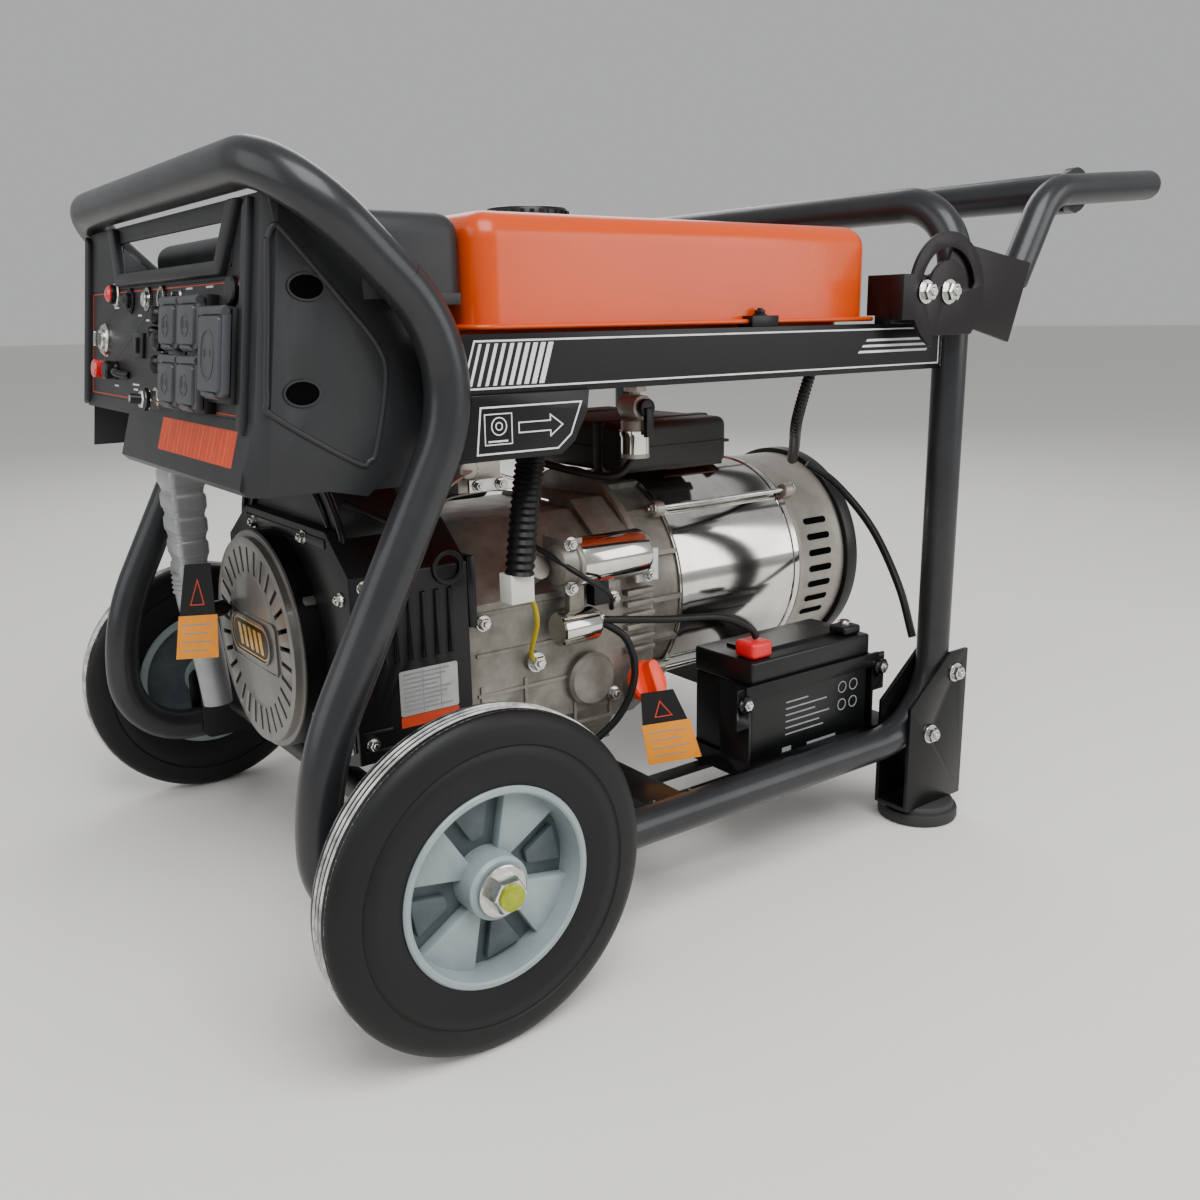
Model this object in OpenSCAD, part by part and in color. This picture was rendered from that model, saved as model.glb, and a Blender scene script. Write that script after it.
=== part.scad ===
// Portable petrol generator on a two-wheel tube frame.
// Z is up and zero on the floor, X runs from the control panel to the handle,
// Y runs across. The origin is the middle of the footprint, on the floor.

/* [Frame] */
// Outside diameter of the frame tube
tube_d = 32; // [28:1:34]
// Distance from the centre plane to each side loop
side_y = 250; // [248:1:252]
// Height of the two top bars
top_z = 608; // [600:1:616]
// Height of the bottom tubes
bottom_z = 92; // [88:1:96]
// Where the rear uprights stand, measured from the axle
post_x = 563; // [560:1:568]
// Height of the side rail
rail_h = 42; // [38:1:44]

/* [Wheels] */
// Wheel diameter
wheel_d = 254; // [240:2:260]
// Tread width
tread_w = 40; // [34:1:42]
// Outer face of a wheel from the centre plane
wheel_face_y = 326; // [324:1:332]
// Axle rod diameter
axle_d = 16; // [14:1:18]

/* [Handle] */
// Furthest reach of the handle arms from the axle
handle_reach = 891; // [860:1:900]
// Diameter of the handle arms
arm_d = 30; // [26:1:30]

/* [Tank] */
// Tank length
tank_l = 410; // [380:5:420]
// Tank width
tank_w = 476; // [440:2:480]
// Height of the tank above its seam
tank_h = 78; // [60:1:80]

/* [Engine] */
// Height of the crankshaft
crank_z = 242; // [240:1:246]
// Radius of the recoil starter cover
recoil_r = 95; // [88:1:98]
// Radius of the generator barrel
barrel_r = 112; // [104:1:114]

/* [Panel] */
// Width of the control panel shroud
shroud_w = 446; // [430:2:450]
// Lean of the panel face from vertical, in degrees
lean = 7; // [5:1:8]

/* [Hidden] */

tube_r = tube_d / 2;
arm_r = arm_d / 2;
wheel_r = wheel_d / 2;
axle_r = axle_d / 2;
side_inner_y = side_y - tube_r;
origin_x = (wheel_r - handle_reach) / 2;
gap = 0.4;
smooth = 48;
// Joint line between the stretches of a bent tube
hair = 0.01;

// Side loop: the shoulder arc, the knee arc, the front foot bend and the rear bend
shoulder_r = 100;
shoulder_z = 462;
shoulder_from = -27.1;
shoulder_to = 46;
knee_r = 230;
foot_bend_r = 64;
rear_bend_r = 80;
hoop_bend_r = 60;
hoop_x = -90;
foot_bend = [-34, bottom_z + foot_bend_r];
knee = [foot_bend[0] - foot_bend_r + knee_r, foot_bend[1]];
knee_top = [knee[0] - knee_r * cos(shoulder_from), knee[1] - knee_r * sin(shoulder_from)];
shoulder_low_z = shoulder_z + shoulder_r * sin(shoulder_from);
shoulder_low = [knee_top[0] - (shoulder_low_z - knee_top[1]) * tan(shoulder_from), shoulder_low_z];
shoulder = [shoulder_low[0] - shoulder_r * cos(shoulder_from), shoulder_z];
shoulder_high = [shoulder[0] + shoulder_r * cos(shoulder_to), shoulder_z + shoulder_r * sin(shoulder_to)];
rear_bend = [post_x - rear_bend_r, bottom_z + rear_bend_r];

// Side rail
rail_z = 457;
rail_top = rail_z + rail_h;
rail_x0 = 15;
rail_x1 = post_x - tube_r;
rail_out_y = 252;
rail_t = 20;

// Handle pivot and its plates
pivot = [519, 526];
plate_y = 269;
plate_t = 4;
bracket_y = 274;
lock_r = 33;
arm_y = plate_y - arm_r + 1.5;
grip_x = 770;
grip_z = 628;

// Tank
tank_x0 = 50;
tank_seam_z = 505;
tank_x1 = tank_x0 + tank_l;
tank_top = tank_seam_z + tank_h;
cap_x = 250;

// Engine
flywheel_r = 86;
shaft_r = 17;
blower_x0 = -20;
blower_x1 = 84;
gear_x0 = 250;
bell_x0 = 290;
barrel_x0 = 345;
end_bell_x = 512;
end_cover_x = 583;
end_x = 600;

module placed() {
    translate([origin_x, 0, 0]) children();
}

// Repeats its child mirrored to the far side
module both_sides() {
    children();
    mirror([0, 1, 0]) children();
}

// A bend of round bar in the upright plane at depth y, a hair short at both ends
module bend(c, y, r_bend, a0, a1, r) {
    hair_angle = atan2(hair, r_bend);
    translate([c[0], y, c[1]]) rotate([90, 0, 0]) rotate([0, 0, a0 + hair_angle])
        rotate_extrude(angle = a1 - a0 - 2 * hair_angle, $fn = smooth)
            translate([r_bend, 0]) circle(r = r, $fn = smooth);
}

// A straight round bar from a to b
module bar(a, b, r) {
    d = b - a;
    flat = norm([d[0], d[1]]);
    translate(a) rotate([0, atan2(flat, d[2]), atan2(d[1], d[0])]) cylinder(r = r, h = norm(d), $fn = smooth);
}

// A cord through points, as twelve-sided stretches with a ball at each turn
module cord(points, r) {
    for (i = [0 : len(points) - 2]) {
        d = points[i + 1] - points[i];
        translate(points[i]) rotate([0, atan2(norm([d[0], d[1]]), d[2]), atan2(d[1], d[0])])
            cylinder(r = r, h = norm(d), $fn = 12);
    }
    for (i = [1 : len(points) - 2]) translate(points[i]) sphere(r = r, $fn = 12);
}

module disc_x(x0, x1, r) {
    translate([x0, 0, crank_z]) rotate([0, 90, 0]) cylinder(r = r, h = x1 - x0, $fn = 96);
}

module ring_x(x0, x1, r_out, r_in) {
    difference() {
        disc_x(x0, x1, r_out);
        disc_x(x0 - 1, x1 + 1, r_in);
    }
}

// Box from its low corner to its high corner
module span(low, high) {
    translate(low) cube(high - low);
}

// Plate with rounded corners, standing across Y: size along X and Z
module round_plate(x0, x1, z0, z1, r, y0, y1) {
    translate([0, y1, 0]) rotate([90, 0, 0]) linear_extrude(y1 - y0) union() {
        translate([x0 + r, z0]) square([x1 - x0 - 2 * r, z1 - z0]);
        translate([x0, z0 + r]) square([x1 - x0, z1 - z0 - 2 * r]);
        for (x = [x0 + r, x1 - r]) for (z = [z0 + r, z1 - r]) translate([x, z]) circle(r = r, $fn = 32);
    }
}

module hex_bolt_y(x, z, y_face, r, h) {
    translate([x, y_face, z]) rotate([90, 0, 0]) cylinder(r = r, h = h, $fn = 6);
}

// ---- Frame -------------------------------------------------------------

module front_hoop() {
    lean_angle = atan2(top_z - shoulder_high[1], shoulder_high[0] - hoop_x);
    start = [hoop_x + hoop_bend_r * cos(lean_angle), top_z - hoop_bend_r * sin(lean_angle)];
    hair_angle = atan2(hair, hoop_bend_r);
    color([0.22, 0.23, 0.24]) {
        bar([hoop_x, hoop_bend_r - side_y, top_z], [hoop_x, side_y - hoop_bend_r, top_z], tube_r);
        both_sides() {
            bar([start[0], -side_y, start[1]], [shoulder_high[0], -side_y, shoulder_high[1]], tube_r);
            translate([start[0], hoop_bend_r - side_y, start[1]]) rotate([0, lean_angle, 0])
                rotate([0, 0, 180 + hair_angle]) rotate_extrude(angle = 90 - 2 * hair_angle, $fn = smooth)
                    translate([hoop_bend_r, 0]) circle(r = tube_r, $fn = smooth);
        }
    }
}

module side_tube() {
    color([0.2, 0.21, 0.22]) {
        bend(shoulder, -side_y, shoulder_r, shoulder_from, shoulder_to, tube_r);
        bar([knee_top[0], -side_y, knee_top[1]], [shoulder_low[0], -side_y, shoulder_low[1]], tube_r);
        bend(knee, -side_y, knee_r, 180 + shoulder_from, 180, tube_r);
        bend(foot_bend, -side_y, foot_bend_r, 180, 270, tube_r);
        bar([foot_bend[0], -side_y, bottom_z], [rear_bend[0], -side_y, bottom_z], tube_r);
        bend(rear_bend, -side_y, rear_bend_r, 270, 360, tube_r);
    }
}

module rear_hoop() {
    color([0.18, 0.18, 0.19]) union() {
        bar([post_x, hoop_bend_r - side_y, top_z], [post_x, side_y - hoop_bend_r, top_z], tube_r);
        both_sides() {
            bar([post_x, -side_y, rear_bend[1]], [post_x, -side_y, top_z - hoop_bend_r], tube_r);
            translate([post_x, hoop_bend_r - side_y, top_z - hoop_bend_r]) rotate([0, 90, 0]) rotate([0, 0, 180])
                rotate_extrude(angle = 90, $fn = smooth) translate([hoop_bend_r, 0]) circle(r = tube_r, $fn = smooth);
        }
    }
}

// Box beam along the top of one side, cut where it meets the side loop
module rail() {
    color([0.08, 0.08, 0.08]) difference() {
        span([rail_x0, -rail_out_y, rail_z], [rail_x1, rail_t - rail_out_y, rail_top]);
        span([rail_x0 - 1, -rail_out_y + 2.5, rail_z + 2.5], [rail_x1 + 1, rail_t - rail_out_y - 2.5, rail_top - 2.5]);
        bend(shoulder, -side_y, shoulder_r, -10, 40, tube_r + 0.1);
    }
}

member_x = [110, 222, 520];
member_w = [40, 40, 36];
member_half = [side_y, side_y, side_inner_y - plate_t];
member_z0 = 78;
member_z1 = 102;

module cross_members() {
    color([0.08, 0.08, 0.08]) {
        for (i = [0 : 2]) difference() {
            span([member_x[i] - member_w[i] / 2, -member_half[i], member_z0],
                 [member_x[i] + member_w[i] / 2, member_half[i], member_z1]);
            span([member_x[i] - member_w[i] / 2 + 3, -side_y, member_z0 - 1],
                 [member_x[i] + member_w[i] / 2 - 3, side_y, member_z1 - 3]);
            if (i < 2) for (s = [-1, 1]) translate([0, s * side_y, bottom_z]) rotate([0, 90, 0])
                cylinder(r = tube_r + 0.05, h = 600, $fn = smooth);
            for (y = [-80, 80]) translate([member_x[i], y, member_z1 - 5]) cylinder(r = 5.2, h = 10, $fn = 32);
        }
    }
}

axle_z = wheel_r;
axle_tube_r = 13;

module axle_brackets() {
    color([0.08, 0.08, 0.08]) {
        both_sides() for (y = [-side_y - tube_r - plate_t, -side_inner_y]) difference() {
            round_plate(-28, 28, bottom_z - 14, axle_z + 18, 10, y, y + plate_t);
            translate([0, y - 1, axle_z]) rotate([-90, 0, 0]) cylinder(r = axle_r + 0.05, h = plate_t + 2, $fn = 64);
        }
        difference() {
            bar([0, plate_t - side_inner_y, axle_z], [0, side_inner_y - plate_t, axle_z], axle_tube_r);
            bar([0, -side_inner_y, axle_z], [0, side_inner_y, axle_z], axle_r + 0.05);
        }
    }
}

module axle() {
    color([0.75, 0.75, 0.73]) bar([0, -wheel_face_y - 16, axle_z], [0, wheel_face_y + 16, axle_z], axle_r);
}

hub_in_y = wheel_face_y - tread_w;

module axle_nuts() {
    color([0.8, 0.8, 0.78]) both_sides() {
        difference() {
            hex_bolt_y(0, axle_z, -wheel_face_y - 3, 14, 10);
            bar([0, -wheel_face_y - 20, axle_z], [0, -wheel_face_y, axle_z], axle_r + 0.05);
        }
        difference() {
            bar([0, -wheel_face_y - 3, axle_z], [0, -wheel_face_y - 0.5, axle_z], 19);
            bar([0, -wheel_face_y - 4, axle_z], [0, -wheel_face_y, axle_z], axle_r + 0.05);
        }
        difference() {
            bar([0, -hub_in_y + 0.5, axle_z], [0, -side_y - tube_r - plate_t, axle_z], 14);
            bar([0, -hub_in_y, axle_z], [0, -side_y, axle_z], axle_r + 0.05);
        }
    }
}

// ---- Wheels ------------------------------------------------------------

rim_r = 74;
web_t = 12;

// Solid rubber tyre with rounded shoulders and three circumferential grooves
module tyre() {
    color([0.05, 0.05, 0.05]) translate([0, -wheel_face_y, axle_z]) rotate([-90, 0, 0])
        rotate_extrude($fn = 128) difference() {
            union() {
                translate([rim_r, 2]) square([wheel_r - rim_r - 6, tread_w - 4]);
                translate([rim_r + 18, 0]) square([wheel_r - rim_r - 24, tread_w]);
                translate([wheel_r - 7, 6]) square([7, tread_w - 12]);
                for (z = [6, tread_w - 6]) translate([wheel_r - 6, z]) circle(r = 6, $fn = 32);
            }
            for (z = [13, 20, 27]) translate([wheel_r - 2, z - 0.8]) square([4, 1.6]);
            translate([101, -0.5]) square([2.5, 1.3]);
        }
}

spokes = 4;
window_turn = -11;

// Wheel centre: deep rim, four broad spokes with wedge windows, and a bearing boss
module hub() {
    color([0.55, 0.6, 0.62]) translate([0, -wheel_face_y, axle_z]) rotate([-90, 0, 0]) difference() {
        union() {
            translate([0, 0, 3]) difference() {
                cylinder(r = rim_r, h = tread_w - 6, $fn = 128);
                translate([0, 0, -1]) cylinder(r = rim_r - 8, h = tread_w, $fn = 128);
            }
            translate([0, 0, 16]) cylinder(r = rim_r - 4, h = web_t, $fn = 128);
            translate([0, 0, 1]) cylinder(r = 24, h = tread_w - 2, $fn = 96);
        }
        for (i = [0 : spokes - 1]) rotate([0, 0, window_turn + i * 360 / spokes]) translate([0, 0, 12])
            linear_extrude(13) difference() {
                polygon([[27, -9], [27, 9], [62, 27], [62, -27]]);
                translate([-2, 0]) difference() {
                    square(160, center = true);
                    circle(r = 62, $fn = 96);
                }
            }
        translate([0, 0, -1]) cylinder(r = axle_r + 0.08, h = tread_w + 2, $fn = 64);
        translate([0, 0, -1]) cylinder(r = 20, h = 4, $fn = 64);
    }
}

// ---- Rear feet ---------------------------------------------------------

foot_x = 552;
foot_r = 40;
foot_h = 19;
foot_bolts_xz = [[575, 154], [540, bottom_z + 4]];

module rear_feet() {
    color([0.05, 0.05, 0.05]) both_sides() translate([foot_x, -side_y, 0]) {
        cylinder(r = foot_r, h = foot_h - 6, $fn = 96);
        translate([0, 0, foot_h - 6]) cylinder(r = foot_r - 4, h = 6, $fn = 96);
    }
}

// Two cheek plates clamp the rear bend and stand on a base plate over each foot
module foot_brackets() {
    color([0.08, 0.08, 0.08]) both_sides() difference() {
        union() {
            for (y = [-side_y - tube_r - plate_t, -side_inner_y]) translate([0, y + plate_t, 0])
                rotate([90, 0, 0]) linear_extrude(plate_t)
                    polygon([[508, foot_h + 4], [594, foot_h + 4], [594, 176], [566, 176], [508, 128]]);
            span([508, -side_y - tube_r - plate_t, foot_h], [594, -side_inner_y + plate_t, foot_h + 4]);
        }
        for (p = foot_bolts_xz) translate([p[0], -side_y - 30, p[1]]) rotate([-90, 0, 0])
            cylinder(r = 4.05, h = 60, $fn = 32);
    }
}

module foot_bolts() {
    color([0.8, 0.8, 0.8]) both_sides() for (i = [0, 1]) {
        p = foot_bolts_xz[i];
        hex_bolt_y(p[0], p[1], -side_y - tube_r - plate_t, 8, 6);
        bar([p[0], -side_y - tube_r - plate_t, p[1]], [p[0], -side_y - tube_r, p[1]], 4);
    }
}

// ---- Handle ------------------------------------------------------------

module pivot_bracket() {
    color([0.1, 0.09, 0.09]) {
        difference() {
            span([458, -side_y - 14, rail_top], [rail_x1 - 0.2, -side_y + 14, 541]);
            translate([pivot[0], -side_y - 20, pivot[1]]) rotate([-90, 0, 0]) cylinder(r = 5.05, h = 40, $fn = 48);
            span([450, -246.5, rail_top - 1], [469, -235, tank_seam_z + 1]);
        }
        span([456, -bracket_y, 502], [467, -side_y - 14, 541]);
        translate([pivot[0], 0, pivot[1]]) difference() {
            union() {
                translate([0, -bracket_y, 0]) rotate([90, 0, 0]) cylinder(r = 52, h = plate_t, $fn = 96);
                span([-63, -bracket_y - plate_t, -24], [-30, -bracket_y, 15]);
            }
            translate([0, -bracket_y + 1, 0]) rotate([90, 0, 0]) cylinder(r = 5.05, h = 10, $fn = 48);
            translate([0, -bracket_y + 1, 0]) rotate([90, 0, 0]) linear_extrude(10) arc_slot(14, 180, lock_r, 5.4);
            translate([0, -bracket_y + 1, 0]) rotate([90, 0, 0]) linear_extrude(10)
                translate([-20, -80]) square([100, 42]);
        }
    }
}

// Curved slot of half-width w along radius r, from angle a0 to a1
module arc_slot(a0, a1, r, w) {
    difference() {
        circle(r = r + w, $fn = 96);
        circle(r = r - w, $fn = 96);
        polygon([[0, 0], [80 * cos(a1), 80 * sin(a1)], [-80, -80], [80, -80], [80 * cos(a0), 80 * sin(a0)]]);
    }
    for (a = [a0, a1]) translate([r * cos(a), r * sin(a)]) circle(r = w, $fn = 32);
}

module pivot_bolts() {
    color([0.85, 0.85, 0.83]) both_sides() {
        hex_bolt_y(pivot[0], pivot[1], -bracket_y - plate_t, 9, 6);
        bar([pivot[0], -bracket_y - plate_t, pivot[1]], [pivot[0], -side_y + 10, pivot[1]], 5);
        difference() {
            bar([pivot[0], -plate_y + 0.4, pivot[1]], [pivot[0], -side_y - 14, pivot[1]], 11);
            bar([pivot[0], -plate_y, pivot[1]], [pivot[0], -side_y, pivot[1]], 5);
        }
    }
}

arm_bend_r = 55;
arm_rise = 4.5;
arm_lean = 60;
arm_bend = [729.3, 569.7];
arm_low = [arm_bend[0] - arm_bend_r * sin(arm_lean), arm_bend[1] + arm_bend_r * cos(arm_lean)];
arm_foot = [arm_low[0] - 70 * cos(arm_lean), arm_low[1] - 70 * sin(arm_lean)];
arm_out = [arm_bend[0] - arm_bend_r * sin(arm_rise), arm_bend[1] + arm_bend_r * cos(arm_rise)];
arm_end_x = handle_reach - arm_r;
arm_end_z = arm_out[1] + (arm_end_x - arm_out[0]) * tan(arm_rise);

// Half section of a rod of length l with a rounded end
module nose_profile(l) {
    square([arm_r, l]);
    intersection() {
        translate([0, l]) circle(r = arm_r, $fn = smooth);
        translate([0, l - 1]) square([arm_r, arm_r + 1]);
    }
}

// One arm: its pivot plate with a return lip, and a bent tube that ends in a round nose
module handle_arm() {
    color([0.25, 0.26, 0.27]) {
        difference() {
            translate([pivot[0], -plate_y, pivot[1]]) rotate([90, 0, 0]) linear_extrude(plate_t) union() {
                circle(r = 22, $fn = 64);
                translate([-lock_r, 0]) circle(r = 10, $fn = 48);
                translate([-lock_r, -10]) square([lock_r, 20]);
                polygon([[10, 45], [131, 27], [103, -47], [32, -30], [5, -20], [5, 18]]);
            }
            translate([pivot[0], -plate_y - 20, pivot[1]]) rotate([-90, 0, 0]) cylinder(r = 5.05, h = 40, $fn = 48);
            translate([pivot[0] - lock_r, -plate_y - 20, pivot[1]]) rotate([-90, 0, 0])
                cylinder(r = 4, h = 40, $fn = 48);
        }
        bar([arm_foot[0], -arm_y, arm_foot[1]], [arm_low[0], -arm_y, arm_low[1]], arm_r);
        bend(arm_bend, -arm_y, arm_bend_r, 90 + arm_rise, 90 + arm_lean, arm_r);
        translate([arm_out[0], -arm_y, arm_out[1]]) rotate([0, 90 - arm_rise, 0])
            rotate_extrude($fn = smooth) nose_profile((arm_end_x - arm_out[0]) / cos(arm_rise));
    }
}

grip_half = arm_y - arm_r;

// Cross tube between the arms, with a sleeve and a collar at each end
module handle_grip() {
    color([0.24, 0.25, 0.26]) union() {
        bar([grip_x, -grip_half, grip_z], [grip_x, grip_half, grip_z], 18);
        both_sides() bar([grip_x, -grip_half, grip_z], [grip_x, 10 - grip_half, grip_z], 22);
    }
}

module handle_lock_bolts() {
    color([0.85, 0.85, 0.83]) both_sides() {
        hex_bolt_y(pivot[0] - lock_r, pivot[1], -bracket_y - plate_t - 0.4, 9, 6);
        bar([pivot[0] - lock_r, -bracket_y - plate_t - 0.4, pivot[1]], [pivot[0] - lock_r, -plate_y, pivot[1]], 4);
    }
}

// ---- Tank --------------------------------------------------------------

// Block with balls at its upper corners and plain feet
module soft_block(x0, x1, y0, y1, z0, z1, r) {
    hull() {
        for (x = [x0 + r, x1 - r]) for (y = [y0 + r, y1 - r]) {
            translate([x, y, z1 - r]) sphere(r = r, $fn = 32);
            translate([x, y, z0]) cylinder(r = r, h = 1, $fn = 32);
        }
    }
}

lower_z = 468;

module fuel_tank() {
    y = tank_w / 2;
    color([0.93, 0.38, 0.05]) difference() {
        union() {
            soft_block(tank_x0, tank_x1, -y, y, tank_seam_z, tank_top, 20);
            round_slab(tank_x0 - 8, tank_x1 + 8, y + 7, tank_seam_z - 3.5, tank_seam_z, 18);
            round_slab(tank_x0 + 8, tank_x1 - 8, y - 24, lower_z, tank_seam_z - 3.5, 18);
            translate([cap_x, 0, tank_top - 4]) cylinder(r = 32, h = 10, $fn = 64);
        }
        soft_block(tank_x0 + 2, tank_x1 - 2, 2 - y, y - 2, tank_seam_z, tank_top - 2, 18);
        round_slab(tank_x0 + 10, tank_x1 - 10, y - 26, lower_z + 2, tank_seam_z + 1, 16);
        translate([cap_x, 0, tank_top - 8]) cylinder(r = 28, h = 20, $fn = 64);
    }
}

// Flat slab with round corners, centred across Y
module round_slab(x0, x1, half, z0, z1, r) {
    translate([0, 0, z0]) linear_extrude(z1 - z0) union() {
        translate([x0 + r, -half]) square([x1 - x0 - 2 * r, 2 * half]);
        translate([x0, r - half]) square([x1 - x0, 2 * half - 2 * r]);
        for (x = [x0 + r, x1 - r]) for (s = [-1, 1]) translate([x, s * (half - r)]) circle(r = r, $fn = 48);
    }
}

module fuel_cap() {
    color([0.08, 0.08, 0.08]) translate([cap_x, 0, tank_top + 6 + gap]) {
        difference() {
            cylinder(r = 40, h = 19, $fn = 96);
            for (a = [0 : 15 : 345]) rotate([0, 0, a]) translate([41, 0, 3]) cylinder(r = 2.5, h = 20, $fn = 24);
        }
        translate([0, 0, -12]) cylinder(r = 27.6, h = 12, $fn = 64);
    }
}

// Cover between the panel shroud and the tank
module tank_cover() {
    color([0.12, 0.12, 0.13]) difference() {
        soft_block(-30, tank_x0 - 0.5, -229, 229, 522, 581, 16);
        soft_block(-60, tank_x0 + 60, -226, 226, 500, 578, 14);
        span([-40, -240, 500], [80, 240, 523]);
    }
}

valve_x = 283;
valve_y = -120;
valve_z = 415;

// Fuel tap under the tank: body, stem up into the tank floor and sediment bowl
module fuel_valve() {
    color([0.7, 0.7, 0.7]) union() {
        bar([valve_x, valve_y, valve_z], [valve_x, valve_y, lower_z], 5);
        bar([valve_x, valve_y - 12, valve_z + 14], [valve_x, valve_y + 12, valve_z + 14], 11);
        translate([valve_x, valve_y, valve_z - 32]) cylinder(r = 13, h = 34, $fn = 48);
        translate([valve_x, valve_y, valve_z + 28]) cylinder(r = 11, h = 7, $fn = 6);
    }
}

module fuel_valve_lever() {
    color([0.1, 0.1, 0.1]) union() {
        bar([valve_x, valve_y - 19, valve_z + 14], [valve_x, valve_y - 12 - gap, valve_z + 14], 8);
        span([valve_x - 4, valve_y - 22, valve_z - 12], [valve_x + 4, valve_y - 17, valve_z + 14]);
    }
}

// Instruction plate that hangs from the front of the near rail
module label_plate() {
    color([0.1, 0.1, 0.1]) {
        difference() {
            translate([0, -rail_out_y, 0]) rotate([90, 0, 0]) linear_extrude(3)
                polygon([[15, 458], [134, 458], [132, 442], [120, 421], [108, 412], [15, 412]]);
            bend(shoulder, -side_y, shoulder_r, -40, 20, tube_r + 0.4);
        }
        span([38, -rail_out_y, 414], [104, -rail_out_y + 10, rail_z]);
    }
}

// ---- Control panel -----------------------------------------------------

// Places a child on the panel face: X out of the face is negative, Z up the face
module on_panel() {
    translate([-98.5, 0, 490]) rotate([0, lean, 0]) children();
}

shroud_outline = [[-87, 589], [-104.5, 446], [-117, 403], [-112, 398], [-60, 398], [-32, 392],
                  [-14, 409], [-1, 430], [3, 455], [-3, 490], [-22, 524], [-56, 557]];
shroud_hollow = [[-83.5, 586], [-101, 446], [-112, 404], [-108, 401.5], [-60, 401.5], [-33, 396],
                 [20, 396], [20, 600], [-60, 600]];

module outline_y(points, y0, y1) {
    translate([0, y1, 0]) rotate([90, 0, 0]) linear_extrude(y1 - y0) polygon(points);
}

// Blocks that bevel the two front edges, moved in by t
module shroud_corners(t) {
    for (s = [-1, 1]) translate([-104, s * (shroud_w / 2 + 1), 380]) rotate([0, lean, 0])
        rotate([0, 0, s * -42]) translate([t - 40, -20, -20]) cube([40, 40, 260]);
}

// Moulded shell: side walls, leaning face, hand opening and the stepped lower pod
module panel_shroud() {
    half = shroud_w / 2;
    color([0.17, 0.18, 0.19]) difference() {
        outline_y(shroud_outline, -half, half);
        difference() {
            outline_y(shroud_hollow, 3 - half, half - 3);
            shroud_corners(5);
        }
        shroud_corners(0);
        // The far half of the lower edge is higher
        span([-130, 74, 380], [-20, half - 3, 436]);
        // Hand opening under the top bar
        on_panel() span([-10, -165, 56], [30, 116, 88]);
        // Seat for the panel plate
        on_panel() span([-6, -200, -44], [1.2, 208, 48]);
        on_panel() span([-6, -194, -40], [12, 202, 44]);
        // Vents in the side walls
        for (s = [-1, 1]) for (p = [[-66, 531], [-74, 464]]) translate([p[0], s * half, p[1]]) rotate([90, 0, 0])
            cylinder(r = 9, h = 4, center = true, $fn = 48);
    }
}

module panel_plate() {
    color([0.16, 0.17, 0.18]) on_panel() difference() {
        span([-0.6, -199.8, -43.8], [1.2, 207.8, 47.8]);
        for (i = [0 : 2]) translate([-3, breaker_y[i], 38]) rotate([0, 90, 0]) cylinder(r = 6.4, h = 8, $fn = 48);
        translate([-3, key_y, 6]) rotate([0, 90, 0]) cylinder(r = 9.4, h = 8, $fn = 48);
        span([-3, -41, 2], [5, -19, 26]);
    }
}

breaker_y = [77, 25, -12];
key_y = 157;
outlet_a_y = -76;
outlet_b_y = -121;
outlet_c_y = -170;

// Fixed pieces on the face: lamp, meter, terminals, ground stud and receptacle bodies
module panel_fittings() {
    color([0.1, 0.1, 0.1]) on_panel() {
        for (y = [outlet_a_y, outlet_b_y]) {
            span([-9, y - 20, -43], [-0.6, y + 20, 38]);
            span([1.2, y - 17, -38], [34, y + 17, 34]);
        }
        span([-9, outlet_c_y - 23, -34], [-0.6, outlet_c_y + 23, 28]);
        translate([1.2, outlet_c_y, -3]) rotate([0, 90, 0]) cylinder(r = 20, h = 38, $fn = 64);
        translate([-7, 122, 44]) rotate([0, 90, 0]) cylinder(r = 8, h = 6.4, $fn = 48);
        translate([-9, 157, -20]) rotate([0, 90, 0]) cylinder(r = 7.5, h = 8.4, $fn = 48);
        translate([-9, 120, -20]) rotate([0, 90, 0]) cylinder(r = 7.5, h = 8.4, $fn = 48);
        span([-3, 34, -8], [-0.6, 62, 12]);
        translate([-20, 6, -40]) rotate([0, 90, 0]) cylinder(r = 4, h = 19.4, $fn = 48);
        translate([-2.5, breaker_y[2], 38]) rotate([0, 90, 0]) cylinder(r = 6.4, h = 2, $fn = 48);
        translate([-9, 6, -40]) rotate([0, 90, 0]) cylinder(r = 9, h = 3, $fn = 6);
        for (i = [0 : 2]) difference() {
            translate([-3, breaker_y[i], 38]) rotate([0, 90, 0]) cylinder(r = 10, h = 2.4, $fn = 48);
            translate([-4, breaker_y[i], 38]) rotate([0, 90, 0]) cylinder(r = 6.4, h = 5, $fn = 48);
        }
    }
}

module button_at(y) {
    on_panel() translate([-7, y, 38]) rotate([0, 90, 0]) cylinder(r = 6, h = 14, $fn = 48);
}

module breaker_buttons_left() {
    color([0.85, 0.85, 0.85]) button_at(breaker_y[0]);
}

module breaker_buttons_right() {
    color([0.85, 0.85, 0.85]) button_at(breaker_y[1]);
}

// Key switch barrel with its key
module key_switch() {
    color([0.75, 0.75, 0.75]) on_panel() {
        translate([-7, key_y, 6]) rotate([0, 90, 0]) cylinder(r = 9, h = 20, $fn = 48);
        span([-22, key_y - 1.5, -3], [-7, key_y + 1.5, 15]);
    }
}

// Rocker for the voltage selector
module selector_switch() {
    color([0.06, 0.06, 0.06]) on_panel() translate([3, -30, 14]) union() {
        rotate([0, -8, 0]) span([-9, -10, -11], [4, 10, 11]);
        rotate([90, 0, 0]) cylinder(r = 2.5, h = 21.6, center = true, $fn = 32);
    }
}

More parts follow.
